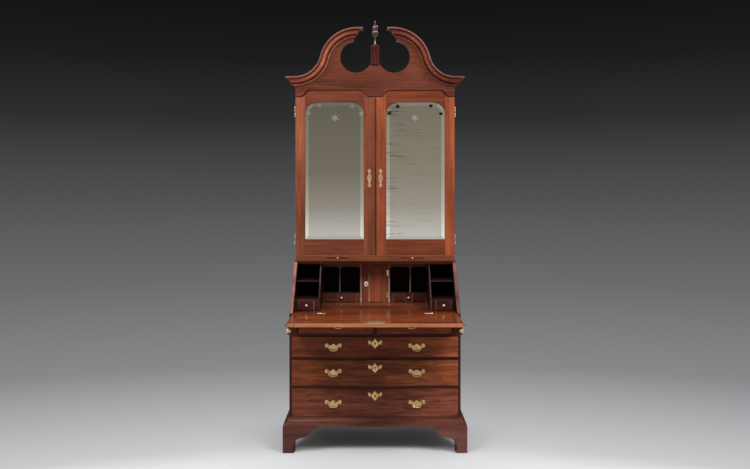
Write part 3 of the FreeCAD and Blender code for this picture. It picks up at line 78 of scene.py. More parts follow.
def noise(tree, place, detail, start=(0, 0, 0), scale=(1, 1, 1), fineness=1, bend=0):
    """Noise of a fineness over the place, which is first stretched by the scale and moved by the start."""
    moved = add_node(tree, "Mapping", {"Vector": place, "Location": start, "Scale": scale}).outputs["Vector"]
    inputs = {"Vector": moved, "Scale": fineness, "Detail": detail, "Distortion": bend}
    return add_node(tree, "TexNoise", inputs).outputs["Fac"]


def between(tree, value, low, high, first, last, ends="LINEAR"):
    """Value from low to high as a number from first to last, in a straight line or with smooth ends."""
    inputs = {"Value": value, "From Min": low, "From Max": high, "To Min": first, "To Max": last}
    return add_node(tree, "MapRange", inputs, interpolation_type=ends).outputs["Result"]


def ramp(tree, value, stops):
    """Colour by a value from 0 to 1: each stop is a place and a colour, lowest and highest stop first."""
    node = add_node(tree, "ValToRGB", {"Fac": value})
    elements = node.color_ramp.elements
    for number, (spot, colour) in enumerate(stops):
        element = elements[number] if number < 2 else elements.new(spot)
        element.position = spot
        element.color = (*colour, 1)
    return node.outputs["Color"]


def times(tree, colour, factor):
    """Colour darkened or lightened by a factor."""
    return add_node(tree, "VectorMath", {0: colour, "Scale": factor}, operation="SCALE").outputs["Vector"]


def bump(tree, height, strength, distance):
    """Normal of a surface that a height raises and sinks over a distance."""
    inputs = {"Height": height, "Strength": strength, "Distance": distance}
    return add_node(tree, "Bump", inputs).outputs["Normal"]


def timber(name, grain, colour, start, contrast=0.42, polish=1.0, painted_shades=None, shine=0.1, fleck=0.1):
    """Wood with its grain along one axis, from bare (polish 0) to french-polished (polish 1 and over).

    Figure is a slow noise stretched along the grain that moves the colour from dark to light, and cloud is a
    broader one. Lines are a finer noise across the grain, and flecks are short dark and light strokes between
    the two in size. Pores are the lowest values of a very fine noise; they darken the wood and sink its
    surface. Painted shades are factors for the left end, the middle and the right end of the board;
    they paint light and shade into its colour across it.
    """
    finish, tree, shader, place = new_finish(name)

    def strokes(along, across, detail, bend):
        """Noise with features about 1 / along long and 1 / across wide, in metres."""
        scale = [along if axis == grain else across for axis in "xyz"]
        return noise(tree, place, detail, (start, start * 0.7, start * 1.3), scale, bend=bend)

    figure = strokes(1.1, 11, 4, 0.9)
    lines = strokes(5, 190, 3, 0.4)
    pores = strokes(60, 1100, 1, 0)
    cloud = strokes(1.8, 3.2, 2, 0.3)
    flecks = strokes(8, 46, 2, 0.8)
    red, green, blue = colour
    dark = [part * (1 - contrast) for part in colour]
    light = (red * (1 + contrast), green * (1 + contrast * 1.15), blue * (1 + contrast))
    shown = ramp(tree, figure, [(0.30, dark), (0.72, light), (0.5, colour)])
    shown = times(tree, shown, between(tree, lines, 0.3, 0.7, 0.78, 1.24))
    shown = times(tree, shown, between(tree, cloud, 0.3, 0.7, 0.82, 1.2))
    shown = times(tree, shown, between(tree, flecks, 0.32, 0.68, 1 - fleck, 1 + fleck))
    shown = times(tree, shown, between(tree, pores, 0.34, 0.42, 0.62, 1))
    # Painted light and shade across the board, from the left end through the middle to the right end.
    if painted_shades:
        left, middle, right = painted_shades
        left_stretch = (-0.44, -0.08)
        right_stretch = (0.0, 0.40)
        x = add_node(tree, "SeparateXYZ", {"Vector": place}).outputs["X"]
        shown = times(tree, shown, between(tree, x, *left_stretch, left, middle))
        shown = times(tree, shown, between(tree, x, *right_stretch, 1, right / middle))
    bare_dullness = 0.62
    dullness = bare_dullness - 0.34 * polish
    fill(shader, {"Base Color": shown,
                  "Roughness": between(tree, lines, 0.3, 0.7, dullness - 0.05, dullness + 0.1),
                  "Specular IOR Level": shine,
                  "Coat Weight": max(0, polish - 1),
                  "Coat Roughness": 0.1,
                  "Normal": bump(tree, pores, strength=0.22, distance=0.0004)})
    return finish


def face_facts(node, fact="center"):
    """Middle (or normal) of each face of a carcase piece, as an array."""
    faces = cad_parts[node].data.polygons
    flat = np.empty(len(faces) * 3)
    faces.foreach_get(fact, flat)
    return flat.reshape(-1, 3)


def dress(node, finishes, edge, rounding=0.0012, choice=None):
    """Finish a carcase piece: choice picks one finish per face.

    Edges are eased by the rounding, less where they lie close together, and get the edge finish.
    """
    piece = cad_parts[node]
    piece.data.materials.clear()
    for finish in [*finishes, edge]:
        piece.data.materials.append(finish)
    if choice is None:
        choice = np.zeros(len(piece.data.polygons))
    piece.data.polygons.foreach_set("material_index", np.asarray(choice).astype(np.int32))
    weld = piece.modifiers.new("weld", "WELD")
    weld.merge_threshold = 0.00002
    if rounding:
        ease = piece.modifiers.new("ease", "BEVEL")
        ease.width = rounding
        ease.segments = 2
        ease.limit_method = "ANGLE"
        ease.angle_limit = math.radians(35)
        ease.material = len(finishes)


foot_colour = (0.092, 0.034, 0.0280)
# Dark eased edges: painted shade in the gaps between parts.
dark_edge = timber("dark_edge", "x", (0.060, 0.018, 0.011), 5.3)
glue_block = timber("glue_block", "y", (0.10, 0.060, 0.034), 2.2, polish=0)
# The front brackets' painted shades paint light: darker at the left foot, brighter at the right.
foot_along = timber("foot_front", "x", foot_colour, 1.3, polish=0.8, painted_shades=(0.86, 1, 1.5))
foot_aside = timber("foot_side", "y", foot_colour, 1.9, polish=0.8)
bracket_thick = 0.0241
feet_low, feet_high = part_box("bracket_feet")
centres = face_facts("bracket_feet")
is_front = centres[:, 1] < feet_low.y + bracket_thick
is_side = np.abs(centres[:, 0]) > feet_high.x - bracket_thick
dress("bracket_feet", [foot_along, foot_aside, glue_block], dark_edge,
      choice=np.where(is_front, 0, np.where(is_side, 1, 2)))


# Base moulding
# Three mitred lengths of mahogany run round the case over the feet: a fillet, a bead and a long cove,
# with the grain along each length.
base_colour = (0.092, 0.0305, 0.0205)
# Painted light and shade along the front: darker in the middle under the fall, brighter at the ends.
base_along = timber("base_front", "x", base_colour, 3.7, painted_shades=(1.15, 0.9, 1.3))
base_aside = timber("base_side", "y", base_colour, 3.1)
case_low, case_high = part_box("desk_sides")
centres = face_facts("base_moulding")
out_front = case_low.y - centres[:, 1]
out_side = np.abs(centres[:, 0]) - case_high.x
dress("base_moulding", [base_along, base_aside], dark_edge, rounding=0.0008,
      choice=np.where(out_front > out_side, 0, 1))


# Lower case
# Solid mahogany sides with upright grain and sloping front edges, the edges painted pale as a painted
# highlight that is brighter on the left; rails and partitions faced with mahogany, their fronts painted dark
# as painted shade; pine bottom, runners and back boards, the bottom painted dark as painted shade, and the
# back boards behind the pigeonholes and the inner faces of the sides painted nearly black as painted shade.
def looks_forward(node):
    """Which faces of a carcase piece look mainly to the front."""
    return face_facts(node, "normal")[:, 1] < -0.5


case_colour = (0.150, 0.042, 0.020)
case_upright = timber("case_side", "z", case_colour, 7.7)
case_along = timber("case_top", "x", case_colour, 9.3)
# Nearly black inner faces of the sides: painted shade inside the desk.
case_inside_shade = timber("case_inside_shade", "z", (0.014, 0.005, 0.0035), 8.9)
# Rail fronts painted dark: painted shade between the drawers.
rail_in_shade = timber("case_rail", "x", (0.046, 0.013, 0.009), 8.3)
worn_edge = timber("worn_edge", "x", (0.31, 0.105, 0.052), 4.1)
front_edge = timber("case_front_edge", "z", (0.050, 0.016, 0.012), 8.5)
# Sloping front edges painted pale as a painted highlight, darker towards the right.
slope_edge = timber("slope_edge", "z", (0.22, 0.098, 0.082), 8.8, painted_shades=(1.1, 1, 0.62))
pine_across = timber("pine_across", "x", (0.36, 0.22, 0.10), 6.1, polish=0)
# Dark pine of the desk bottom: painted shade under the case.
bottom_pine_shade = timber("bottom_pine_shade", "x", (0.075, 0.048, 0.030), 6.6, polish=0)
pine_upright = timber("pine_upright", "z", (0.32, 0.19, 0.09), 9.4, polish=0)
# Nearly black faces of the back boards behind the pigeonholes: painted shade.
shaded_pine = timber("shaded_pine", "z", (0.012, 0.006, 0.004), 9.9, polish=0.2)
rail_face = 0.004
normals = face_facts("desk_sides", "normal")
is_inside = normals[:, 0] * np.sign(face_facts("desk_sides")[:, 0]) < -0.5
is_flank = normals[:, 1] > -0.3
is_slope = normals[:, 2] > 0.2
dress("desk_sides", [case_upright, slope_edge, front_edge, case_inside_shade], dark_edge, rounding=0.0010,
      choice=np.where(is_inside, 3, np.where(is_flank, 0, np.where(is_slope, 1, 2))))
dress("desk_top", [case_along], worn_edge, rounding=0.0016)
dress("desk_bottom", [bottom_pine_shade], bottom_pine_shade)
dress("desk_back", [pine_upright, shaded_pine], pine_upright, choice=looks_forward("desk_back"))
for node in ("drawer_rails", "drawer_partitions"):
    is_behind = face_facts(node)[:, 1] > case_low.y + rail_face
    dress(node, [rail_in_shade, pine_across], dark_edge, rounding=0.0008, choice=is_behind)


# Drawers
# Each front is one mahogany board with a lip round it and lively figure; its colour is painted with light
# and shade, darkest in the middle where the fall's shadow is painted and palest at its right end; sides,
# back and bottom are thin pale oak. All slide on runners.
front_board = 0.0142
oak = timber("drawer_oak", "y", (0.39, 0.26, 0.135), 1.1, polish=0.1)
# Each drawer's colour and painted shades paint light and shade, darker where the fall shades it.
drawer_colours = (("short_drawer_left", (0.215, 0.043, 0.0170), 12.3, (1, 0.85, 1)),
                  ("short_drawer_right", (0.215, 0.043, 0.0170), 17.9, (1, 0.85, 1)),
                  ("upper_drawer", (0.236, 0.055, 0.0225), 21.2, (0.58, 0.49, 1.1)),
                  ("middle_drawer", (0.300, 0.079, 0.0290), 26.8, (0.43, 0.46, 1)),
                  ("lower_drawer", (0.178, 0.0485, 0.0265), 33.5, (0.67, 0.455, 1)))
for node, colour, start, painted_shades in drawer_colours:
    figured = timber(node + "_figure", "x", colour, start, contrast=0.36, painted_shades=painted_shades, fleck=0.34)
    is_behind = face_facts(node)[:, 1] > case_low.y + front_board
    dress(node, [figured, oak], dark_edge, rounding=0.0006, choice=is_behind)


# Drawer brasses
# Cast bat-wing plates, posts and keyhole plates, lacquered and a little tarnished, with filed edges;
# the keyholes of the long drawers get thin dark keyhole shapes, painted shade for the holes.
def brass(name, bright, tarnish, start, dullness=0.41):
    """Lacquered brass: a slow noise tarnishes it; a fine one varies its dullness and raises its surface."""
    finish, tree, shader, place = new_finish(name)
    slow = noise(tree, place, 4, (start, start, start), fineness=70)
    fine = noise(tree, place, 2, (start, start, start), fineness=520)
    fill(shader, {"Metallic": 1,
                  "Base Color": ramp(tree, slow, [(0.34, tarnish), (0.58, bright)]),
                  "Roughness": between(tree, fine, 0.3, 0.7, dullness - 0.08, dullness + 0.08),
                  "Normal": bump(tree, fine, strength=0.15, distance=0.0003)})
    return finish


def grid_piece(name, grids, finish, body, crease=45, hollow=False):
    """One mesh piece from grids of points (rows, columns, 3).

    Each row is a closed ring. Both ends are capped, or joined to each other where the piece is hollow.
    Edges sharper than the crease stay crisp.
    """
    corners = []
    faces = []
    for grid in grids:
        rows, columns = grid.shape[:2]
        index = np.arange(rows * columns).reshape(rows, columns) + sum(len(part) for part in corners)
        lower = np.concatenate([index, index[:1]]) if hollow else index
        following = np.roll(lower, -1, axis=1)
        quads = np.stack([lower[:-1], following[:-1], following[1:], lower[1:]], axis=-1)
        faces += quads.reshape(-1, 4).tolist()
        if not hollow:
            faces += [index[0, ::-1].tolist(), index[-1].tolist()]
        corners.append(grid.reshape(-1, 3))
    mesh = bpy.data.meshes.new(name)
    mesh.from_pydata(np.concatenate(corners).tolist(), [], faces)
    work = bmesh.new()
    work.from_mesh(mesh)
    bmesh.ops.recalc_face_normals(work, faces=work.faces)
    work.to_mesh(mesh)
    work.free()
    mesh.materials.append(finish)
    mesh.polygons.foreach_set("use_smooth", np.ones(len(mesh.polygons), bool))
    mesh.set_sharp_from_angle(angle=math.radians(crease))
    piece = bpy.data.objects.new(name, mesh)
    bpy.context.scene.collection.objects.link(piece)
    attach(piece, body)
    return piece


def round_angles(count):
    """Even angles round one full turn."""
    return np.linspace(0, 2 * np.pi, count, endpoint=False)


def keyhole_line(eye, reach):
    """Outline (x, z) of a keyhole: the eye's radius all round, drawn out downwards by the reach in a slot."""
    angle = round_angles(96)
    slot = np.clip(-np.sin(angle), 0, 1) ** 24
    return (eye + reach * slot)[:, None] * np.stack([np.cos(angle), np.sin(angle)], axis=-1)


def stand_up(line, depth):
    """Points of a flat line (x, z) stood upright at a depth, as (x, depth, z)."""
    return np.stack([line[:, 0], np.full(len(line), depth), line[:, 1]], axis=-1)


def keyhole_shadow(x, z, face):
    """Painted shade for a keyhole on an upright face: its outline at the face and again a little in front."""
    line = keyhole_line(eye=0.0044, reach=0.0090)
    levels = ((1, 0.0), (1, 0.0002), (0.9, 0.0003))
    return np.stack([stand_up(line * share + (x, z), face - out) for share, out in levels])


plate_thick = 0.0015
# Nearly black keyhole shapes: painted shade for the keyholes of the long drawers.
keyhole_shade_sheet = brass("keyhole_shade_sheet", (0.020, 0.016, 0.012), (0.010, 0.008, 0.006), 3.3, dullness=0.60)
for drawer, level in (("upper", 0.6105), ("middle", 0.4735), ("lower", 0.3175)):
    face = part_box(drawer + "_drawer")[0].y - plate_thick
    grid_piece(drawer + "_keyhole_shadow", [keyhole_shadow(0, level, face)], keyhole_shade_sheet,
               drawer + "_long_drawer", crease=30)
plate_brass = brass("plate_brass", (0.80, 0.57, 0.30), (0.41, 0.265, 0.112), 0.4, dullness=0.30)
rubbed_brass = brass("rubbed_brass", (0.90, 0.71, 0.44), (0.75, 0.55, 0.29), 1.7, dullness=0.50)
for node in ("short_brasses_left", "short_brasses_right", "upper_brasses", "middle_brasses", "lower_brasses"):
    dress(node, [plate_brass], rubbed_brass, rounding=0.0011)


# Bails
# Cast drop handles hung between the posts: a swelled bar with a small ring at its middle, its two ends
# turned outwards into the posts.
def smooth_line(knots, count):
    """Curve through the knots: on each stretch a cubic, with the slope at a knot from its two neighbours."""
    knots = np.asarray(knots, float)
    slopes = np.gradient(knots, axis=0)
    place = np.linspace(0, len(knots) - 1, count)
    first = np.minimum(place.astype(int), len(knots) - 2)
    t = (place - first)[:, None]
    return ((1 + 2 * t) * (1 - t) ** 2 * knots[first] + t * (1 - t) ** 2 * slopes[first]
            + t ** 2 * (3 - 2 * t) * knots[first + 1] + t ** 2 * (t - 1) * slopes[first + 1])


def bar(path, radius, columns=20):
    """Round bar along a path in an upright plane facing the front: rings of the radius across the path."""
    along = np.gradient(path, axis=0)
    along /= np.linalg.norm(along, axis=1)[:, None]
    depth = np.array([0.0, 1.0, 0.0])
    across = np.cross(along, depth)
    angle = round_angles(columns)[None, :, None]
    ring = np.cos(angle) * across[:, None, :] + np.sin(angle) * depth
    return path[:, None, :] + radius[:, None, None] * ring


bail_brass = brass("bail_brass", (0.78, 0.55, 0.30), (0.50, 0.32, 0.138), 2.9)
bail_low, bail_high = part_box("short_bail_left")
bail_half = (bail_high.x - bail_low.x) / 2
wire = (bail_high.y - bail_low.y) / 2
drop = bail_high.z - bail_low.z - 2 * wire
turned_end = 0.0124
arm = bail_half - turned_end
half_knots = [(bail_half, 0), (arm + 0.004, 0), (arm, -0.11 * drop), (arm + 0.0004, -0.34 * drop),
              (arm - 0.001, -0.65 * drop), (arm - 0.0075, -0.92 * drop), (0.008, -drop)]
bail_knots = [(-x, z) for x, z in half_knots] + [(x, z) for x, z in half_knots[::-1]]
bail_line = smooth_line(bail_knots, count=121)
end_radius = 0.0019
swelling = 0.0013
ring_rise = 0.0012
ring_share = 0.035
share = np.linspace(-1, 1, len(bail_line))
swell = (end_radius + swelling * np.cos(share * np.pi / 2) ** 2
         + ring_rise * np.exp(-(share / ring_share) ** 2))
pair_wide = 0.2
bail_bodies = (("short_bail_left", "left_short_bail"), ("short_bail_right", "right_short_bail"),
               ("upper_bails", "upper_bail_pair"), ("middle_bails", "middle_bail_pair"),
               ("lower_bails", "lower_bail_pair"))
for node, body in bail_bodies:
    low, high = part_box(node)
    middles = [low.x + bail_half]
    if high.x - low.x > pair_wide:
        middles.append(high.x - bail_half)
    level = high.z - wire
    depth = (low.y + high.y) / 2
    bars = [bar(stand_up(bail_line + (middle, level), depth), swell) for middle in middles]
    handle = grid_piece("handle_" + node, bars, bail_brass, body)
    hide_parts(node)


# Lopers
# Two mahogany-faced bars that slide in slots beside the short drawers and draw out to carry the fall,
# each with a turned brass knob.
loper_wood = timber("loper_wood", "y", (0.095, 0.028, 0.015), 47.7)
knob_brass = brass("knob_brass", (0.76, 0.67, 0.49), (0.62, 0.50, 0.32), 7.3, dullness=0.50)
for side in ("left", "right"):
    dress("loper_" + side, [loper_wood], dark_edge)
    dress("loper_knob_" + side, [knob_brass], rubbed_brass, rounding=0.0003)


# Writing board and fall
# The fall is a mahogany panel held flat by two end cleats; its inner face and the board behind it are
# the most polished surfaces of the desk and mirror the pigeonholes. Brass hinges and lock plate lie flush.
def squared(middle, half, wave):
    """Side of an oblong with rounded corners: middle plus half times the wave's sign and its 0.15th power."""
    return middle + half * np.sign(wave) * np.abs(wave) ** 0.15


desk_colour = (0.216, 0.047, 0.0139)
desk_along = timber("writing_figure", "x", desk_colour, 41.0, polish=1.25, shine=0.3)
desk_cleat = timber("cleat_figure", "y", desk_colour, 44.6, polish=1.25, shine=0.3)
board_along = timber("board_figure", "x", (0.148, 0.032, 0.0098), 41.0, polish=1.25, shine=0.3)
outer_along = timber("fall_outside", "x", (0.150, 0.036, 0.0145), 45.3, contrast=0.3)
outer_cleat = timber("cleat_outside", "y", (0.235, 0.066, 0.0310), 46.1, contrast=0.3)
fall_edge = timber("fall_edge", "x", (0.45, 0.171, 0.082), 42.6)
hinge_brass = brass("hinge_brass", (1.0, 0.78, 0.53), (0.86, 0.63, 0.40), 5.1, dullness=0.27)
lock_brass = brass("lock_brass", (0.80, 0.70, 0.36), (0.50, 0.43, 0.20), 6.2)
dress("writing_board", [board_along], worn_edge, rounding=0.0006)
fall_low, fall_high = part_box("fall_panel")
front_skin = 0.0005
for node, inner, outer in (("fall_panel", desk_along, outer_along), ("fall_cleats", desk_cleat, outer_cleat)):
    is_front = face_facts(node)[:, 1] < fall_low.y + front_skin
    is_outside = face_facts(node, "normal")[:, 2] < -0.5
    dress(node, [inner, fall_edge, outer], worn_edge, rounding=0.0018,
          choice=np.where(is_front, 1, np.where(is_outside, 2, 0)))
dress("fall_brasses", [hinge_brass], rubbed_brass, rounding=0.0004)
dress("hinge_plates", [hinge_brass], rubbed_brass, rounding=0.0004)
lock_turn = round_angles(80)
lock_x = squared(middle=0.010, half=0.044, wave=np.cos(lock_turn))
lock_y = squared(middle=fall_low.y + 0.0425, half=0.042, wave=np.sin(lock_turn))
lock_levels = ((1.0, 0.0), (1.0, 0.0002), (0.985, 0.0003))
lock_rings = [np.stack([lock_x * share, lock_y, np.full(len(lock_x), fall_high.z + rise)], axis=-1)
              for share, rise in lock_levels]
grid_piece("fall_lock_plate", [np.stack(lock_rings)], lock_brass, "fall", crease=20)


# Desk interior
# Thin mahogany partitions and shelves, their faces painted nearly black as painted shade and their front
# edges painted pale as painted highlights, darker on the tall partitions and the shelves; valances across
# the pigeonholes, and small drawers with blocked fronts and turned brass knobs, each darkened by a factor
# as painted shade, with the flanks of their blocks painted pale as painted highlights. The spaces behind are
# deep and unlit.
def relief(across, upward, height, face):
    """Carved board: each row is its front line at face minus height, closed by a straight back line."""
    x = np.broadcast_to(across[None, :], height.shape)
    z = np.broadcast_to(upward[:, None], height.shape)
    front_points = np.stack([x, face - height, z], axis=-1)
    back_points = np.stack([x, np.full(height.shape, face), z], axis=-1)[:, [-1, 0]]
    return np.concatenate([front_points, back_points], axis=1)


def block(middle, half, low_z, high_z, depth, face):
    """Blocked front: its height is the depth times the square root of (1 - u to the 10th)(1 - v to the 20th).

    The shares u and v run from -1 to 1 across it and up it; a thin skin lies under all of it.
    """
    skin = 0.0001
    u = np.sin(np.linspace(-np.pi / 2, np.pi / 2, 41))
    v = np.sin(np.linspace(-np.pi / 2, np.pi / 2, 25))
    height = depth * np.sqrt(np.clip((1 - u[None, :] ** 10) * (1 - v[:, None] ** 20), 0, 1)) + skin
    return relief(middle + half * u, (low_z + high_z) / 2 + (high_z - low_z) / 2 * v, height, face)


# Nearly black wood of the pigeonholes: painted shade in the spaces behind.
nook_shade_colour = (0.018, 0.006, 0.004)
nook_upright = timber("pigeonhole_upright", "z", nook_shade_colour, 51.4)
nook_along = timber("pigeonhole_along", "x", nook_shade_colour, 54.2)
# Pale front edges of the uprights and of the block flanks: painted highlights.
edge_highlight = timber("pigeonhole_edge", "z", (0.225, 0.125, 0.100), 57.7)
tall_edge = timber("tall_partition_edge", "z", (0.058, 0.036, 0.032), 57.1)
shelf_edge = timber("shelf_edge", "x", (0.030, 0.021, 0.019), 57.3)
valance_wood = timber("valance_wood", "x", (0.130, 0.034, 0.026), 58.8)
step_wood = timber("step_wood", "x", (0.120, 0.034, 0.0155), 59.6, polish=1.1)
tall_place = 0.27
is_tall = np.abs(face_facts("pigeonhole_partitions")[:, 0]) > tall_place
dress("pigeonhole_partitions", [nook_upright, edge_highlight, tall_edge], tall_edge, rounding=0.0010,
      choice=np.where(looks_forward("pigeonhole_partitions"), 1 + is_tall, 0))
is_step = face_facts("pigeonhole_shelves")[:, 2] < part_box("small_drawer_left")[0].z
dress("pigeonhole_shelves", [nook_along, shelf_edge, step_wood], shelf_edge, rounding=0.0010,
      choice=np.where(is_step, 2, looks_forward("pigeonhole_shelves")))
dress("pigeonhole_valances", [valance_wood], nook_along, rounding=0.0006)
small_brass = brass("small_brass", (0.68, 0.50, 0.44), (0.55, 0.38, 0.30), 7.7, dullness=0.50)
small_colour = (0.115, 0.031, 0.019)
block_colour = (0.135, 0.036, 0.022)
small_board = 0.0111
small_knob = 0.0140
board_skin = 0.0001
block_depth = 0.005
block_margin = 0.0015
block_flank = 0.35
# The last column darkens each small drawer's wood: painted shade inside the desk.
small_fronts = (("small_drawer_left", "left_small_drawer", (-0.057, 0.057), 0.038, 63.1, 0.80),
                ("small_drawer_right", "right_small_drawer", (-0.057, 0.057), 0.038, 64.8, 0.54),
                ("end_drawer_left", "left_end_drawer", (0.0,), 0.045, 66.2, 0.35),
                ("end_drawer_right", "right_end_drawer", (0.0,), 0.045, 68.5, 0.24))
for node, body, places, half, start, shade in small_fronts:
    figured = timber(node + "_figure", "x", [part * shade for part in small_colour], start)
    blocked = timber(node + "_block", "x", [part * shade for part in block_colour], start + 0.7)
    low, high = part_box(node)
    front_y = low.y + small_knob
    centres = face_facts(node)
    is_knob = centres[:, 1] < front_y - board_skin
    is_behind = centres[:, 1] > front_y + small_board
    dress(node, [figured, oak, small_brass], dark_edge, rounding=0.0004,
          choice=np.where(is_knob, 2, np.where(is_behind, 1, 0)))
    middle = (low.x + high.x) / 2
    blocks = [block(middle + place, half, low.z + block_margin, high.z - block_margin, block_depth, front_y)
              for place in places]
    fronts = grid_piece("blocks_" + node, blocks, blocked, body, crease=60)
    # The steep flanks of each block take the pale edge: a painted highlight.
    fronts.data.materials.append(edge_highlight)
    facing = np.empty(len(fronts.data.polygons) * 3)
    fronts.data.polygons.foreach_get("normal", facing)
    is_lit_flank = np.abs(facing.reshape(-1, 3)[:, 0]) > block_flank
    fronts.data.polygons.foreach_set("material_index", is_lit_flank.astype(np.int32))


# Prospect door
# A small figured door in the middle of the desk with a hollowed panel under a round head, butt hinges
# at its right edge and an oval keyhole plate. A turned half-column stands at each side of it.
def half_turning(middle, face, knots, count):
    """Half-round turning against a face: half rings (radius cos a, minus radius sin a) at even heights.

    The radius runs straight from each knot (radius, height) to the next.
    """
    knot_radius, knot_height = np.array(knots).T
    height = np.linspace(knot_height[0], knot_height[-1], count)[:, None]
    radius = np.interp(height, knot_height, knot_radius)
    angle = np.linspace(0, np.pi, 33)[None, :]
    x = middle + radius * np.cos(angle)
    return np.stack([x, face - radius * np.sin(angle), height + 0 * angle], axis=-1)


def keyhole_plate(centre, half_wide, half_tall, face, thick):
    """Oval plate round a keyhole, as rings up its outer wall, over its front and down the wall of the hole.

    The outer rings are ellipses; the inner ones are a round eye with a slot below.
    """
    eye = keyhole_line(eye=0.0034, reach=0.0056)
    angle = round_angles(len(eye))
    outer = np.stack([half_wide * np.cos(angle), half_tall * np.sin(angle)], axis=-1)
    walls = ((outer, 0), (outer * 0.97, 0.7), (outer * 0.90, 1), (eye * 1.1, 1), (eye, 0.8), (eye, 0))
    return np.stack([stand_up(wall + centre, face - thick * share) for wall, share in walls])


prospect_low, prospect_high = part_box("prospect_door")
prospect_wood = timber("prospect_figure", "z", (0.185, 0.049, 0.0255), 71.5)
panel_wood = timber("prospect_panel", "z", (0.240, 0.061, 0.0270), 73.2, contrast=0.55)
dress("prospect_door", [prospect_wood], worn_edge, rounding=0.0010)

# The panel's half width shrinks as a quarter round over its head; inside that line the surface rises to a
# rim and sinks between the sides as 1 minus the square of the way to them.
panel_left = -0.034
panel_right = 0.047
panel_foot = prospect_low.z + 0.004
panel_head = prospect_high.z - 0.012
head_rise = 0.030
narrowest = 0.02
rim_share = 0.06
rim_height = 0.0052
hollow_depth = 0.0036
panel_skin = 0.0002
u = np.sin(np.linspace(-np.pi / 2, np.pi / 2, 49))
panel_x = (panel_left + panel_right) / 2 + (panel_right - panel_left) / 2 * u
panel_z = panel_foot + (panel_head - panel_foot) * np.linspace(0, 1, 60)
way_up_head = np.clip((panel_z - panel_head + head_rise) / head_rise, 0, 1)
round_head = np.sqrt(np.clip(1 - way_up_head ** 2, narrowest ** 2, 1))
inside = np.clip((round_head[:, None] - np.abs(u)[None, :]) / rim_share, 0, 1)
hollow_height = panel_skin + inside * (rim_height - hollow_depth * (1 - u[None, :] ** 2))
hollowed = relief(panel_x, panel_z, hollow_height, prospect_low.y)
grid_piece("prospect_panel", [hollowed], panel_wood, "prospect", crease=50)

# A pale fillet down the left edge of the panel, coloured as a painted highlight.
fillet_highlight = timber("panel_fillet", "z", (0.62, 0.36, 0.26), 74.4)
fillet_radius = 0.0022
fillet_place = panel_left - 0.0014
fillet_knots = [(fillet_radius, panel_foot), (fillet_radius, panel_head - head_rise)]
fillet = half_turning(fillet_place, prospect_low.y, fillet_knots, count=30)
grid_piece("panel_fillet", [fillet], fillet_highlight, "prospect")

pin_radius = 0.0022
pin_x = prospect_high.x + 0.0003
pin_y = prospect_low.y - pin_radius
barrels = []
for level in (0.0336, 0.1866):
    pin_z = prospect_low.z + level + np.linspace(0.0002, 0.0098, 9)
    pin_line = np.stack([np.full(len(pin_z), pin_x), pin_z], axis=-1)
    barrels.append(bar(stand_up(pin_line, pin_y), np.full(len(pin_z), pin_radius)))
grid_piece("prospect_knuckles", barrels, hinge_brass, "prospect")
oval_brass = brass("oval_brass", (1.0, 0.88, 0.70), (0.88, 0.72, 0.52), 5.9, dullness=0.55)
oval_centre = (prospect_low.x + 0.0185, 0.901)
oval_plate = keyhole_plate(oval_centre, half_wide=0.0125, half_tall=0.0175, face=prospect_low.y, thick=0.0014)
prospect_plate = grid_piece("prospect_keyhole_plate", [oval_plate], oval_brass, "prospect",
                            crease=30, hollow=True)
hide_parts("prospect_brasses")

column_wood = timber("column_wood", "z", (0.36, 0.205, 0.160), 76.8, contrast=0.25)
column_place = 0.0855
column_knots = [(0.0064, 0.7905), (0.0064, 0.804), (0.0062, 0.8055), (0.0064, 0.809), (0.0060, 0.8125),
                (0.0050, 0.815), (0.0050, 0.825), (0.0051, 0.870), (0.0049, 0.930), (0.0045, 0.982),
                (0.0046, 0.989), (0.0058, 0.992), (0.0046, 0.995), (0.0050, 1.000), (0.0064, 1.005),
                (0.0064, 1.0115)]
columns = [half_turning(side * column_place, prospect_low.y, column_knots, count=240) for side in (-1, 1)]
grid_piece("prospect_columns", columns, column_wood, "carcase", crease=40)


# Bookcase carcase
# Mahogany sides and a pine back; shelves stand inside behind the doors, and a rail at the foot holds
# the two candle slides.
upper_upright = timber("bookcase_side", "z", (0.200, 0.054, 0.026), 81.2)
upper_along = timber("bookcase_along", "x", (0.139, 0.0395, 0.0197), 84.9)
dress("bookcase_sides", [upper_upright], worn_edge, rounding=0.0014)
dress("bookcase_boards", [pine_across], worn_edge)
dress("bookcase_back", [pine_upright], pine_upright)
dress("candle_rail", [upper_along], worn_edge)
slide_wood = timber("candle_slide", "x", (0.078, 0.020, 0.012), 86.3)
for side in ("left", "right"):
    dress("candle_slide_" + side, [slide_wood], dark_edge, rounding=0.0006)
    dress("candle_knob_" + side, [small_brass], rubbed_brass, rounding=0.0003)


# Doors
# Framed mahogany doors: stiles with upright grain, shaped top rails and plain bottom rails, tenoned
# together; a painted shadow lies dark along their heads, and their stiles are painted with light and shade.
# A bead on the right door covers the joint between them, coloured dark as painted shade.
def worked(tree, operation, *values):
    """Result of one step of arithmetic on shader values."""
    return add_node(tree, "Math", dict(enumerate(values)), operation=operation).outputs["Value"]


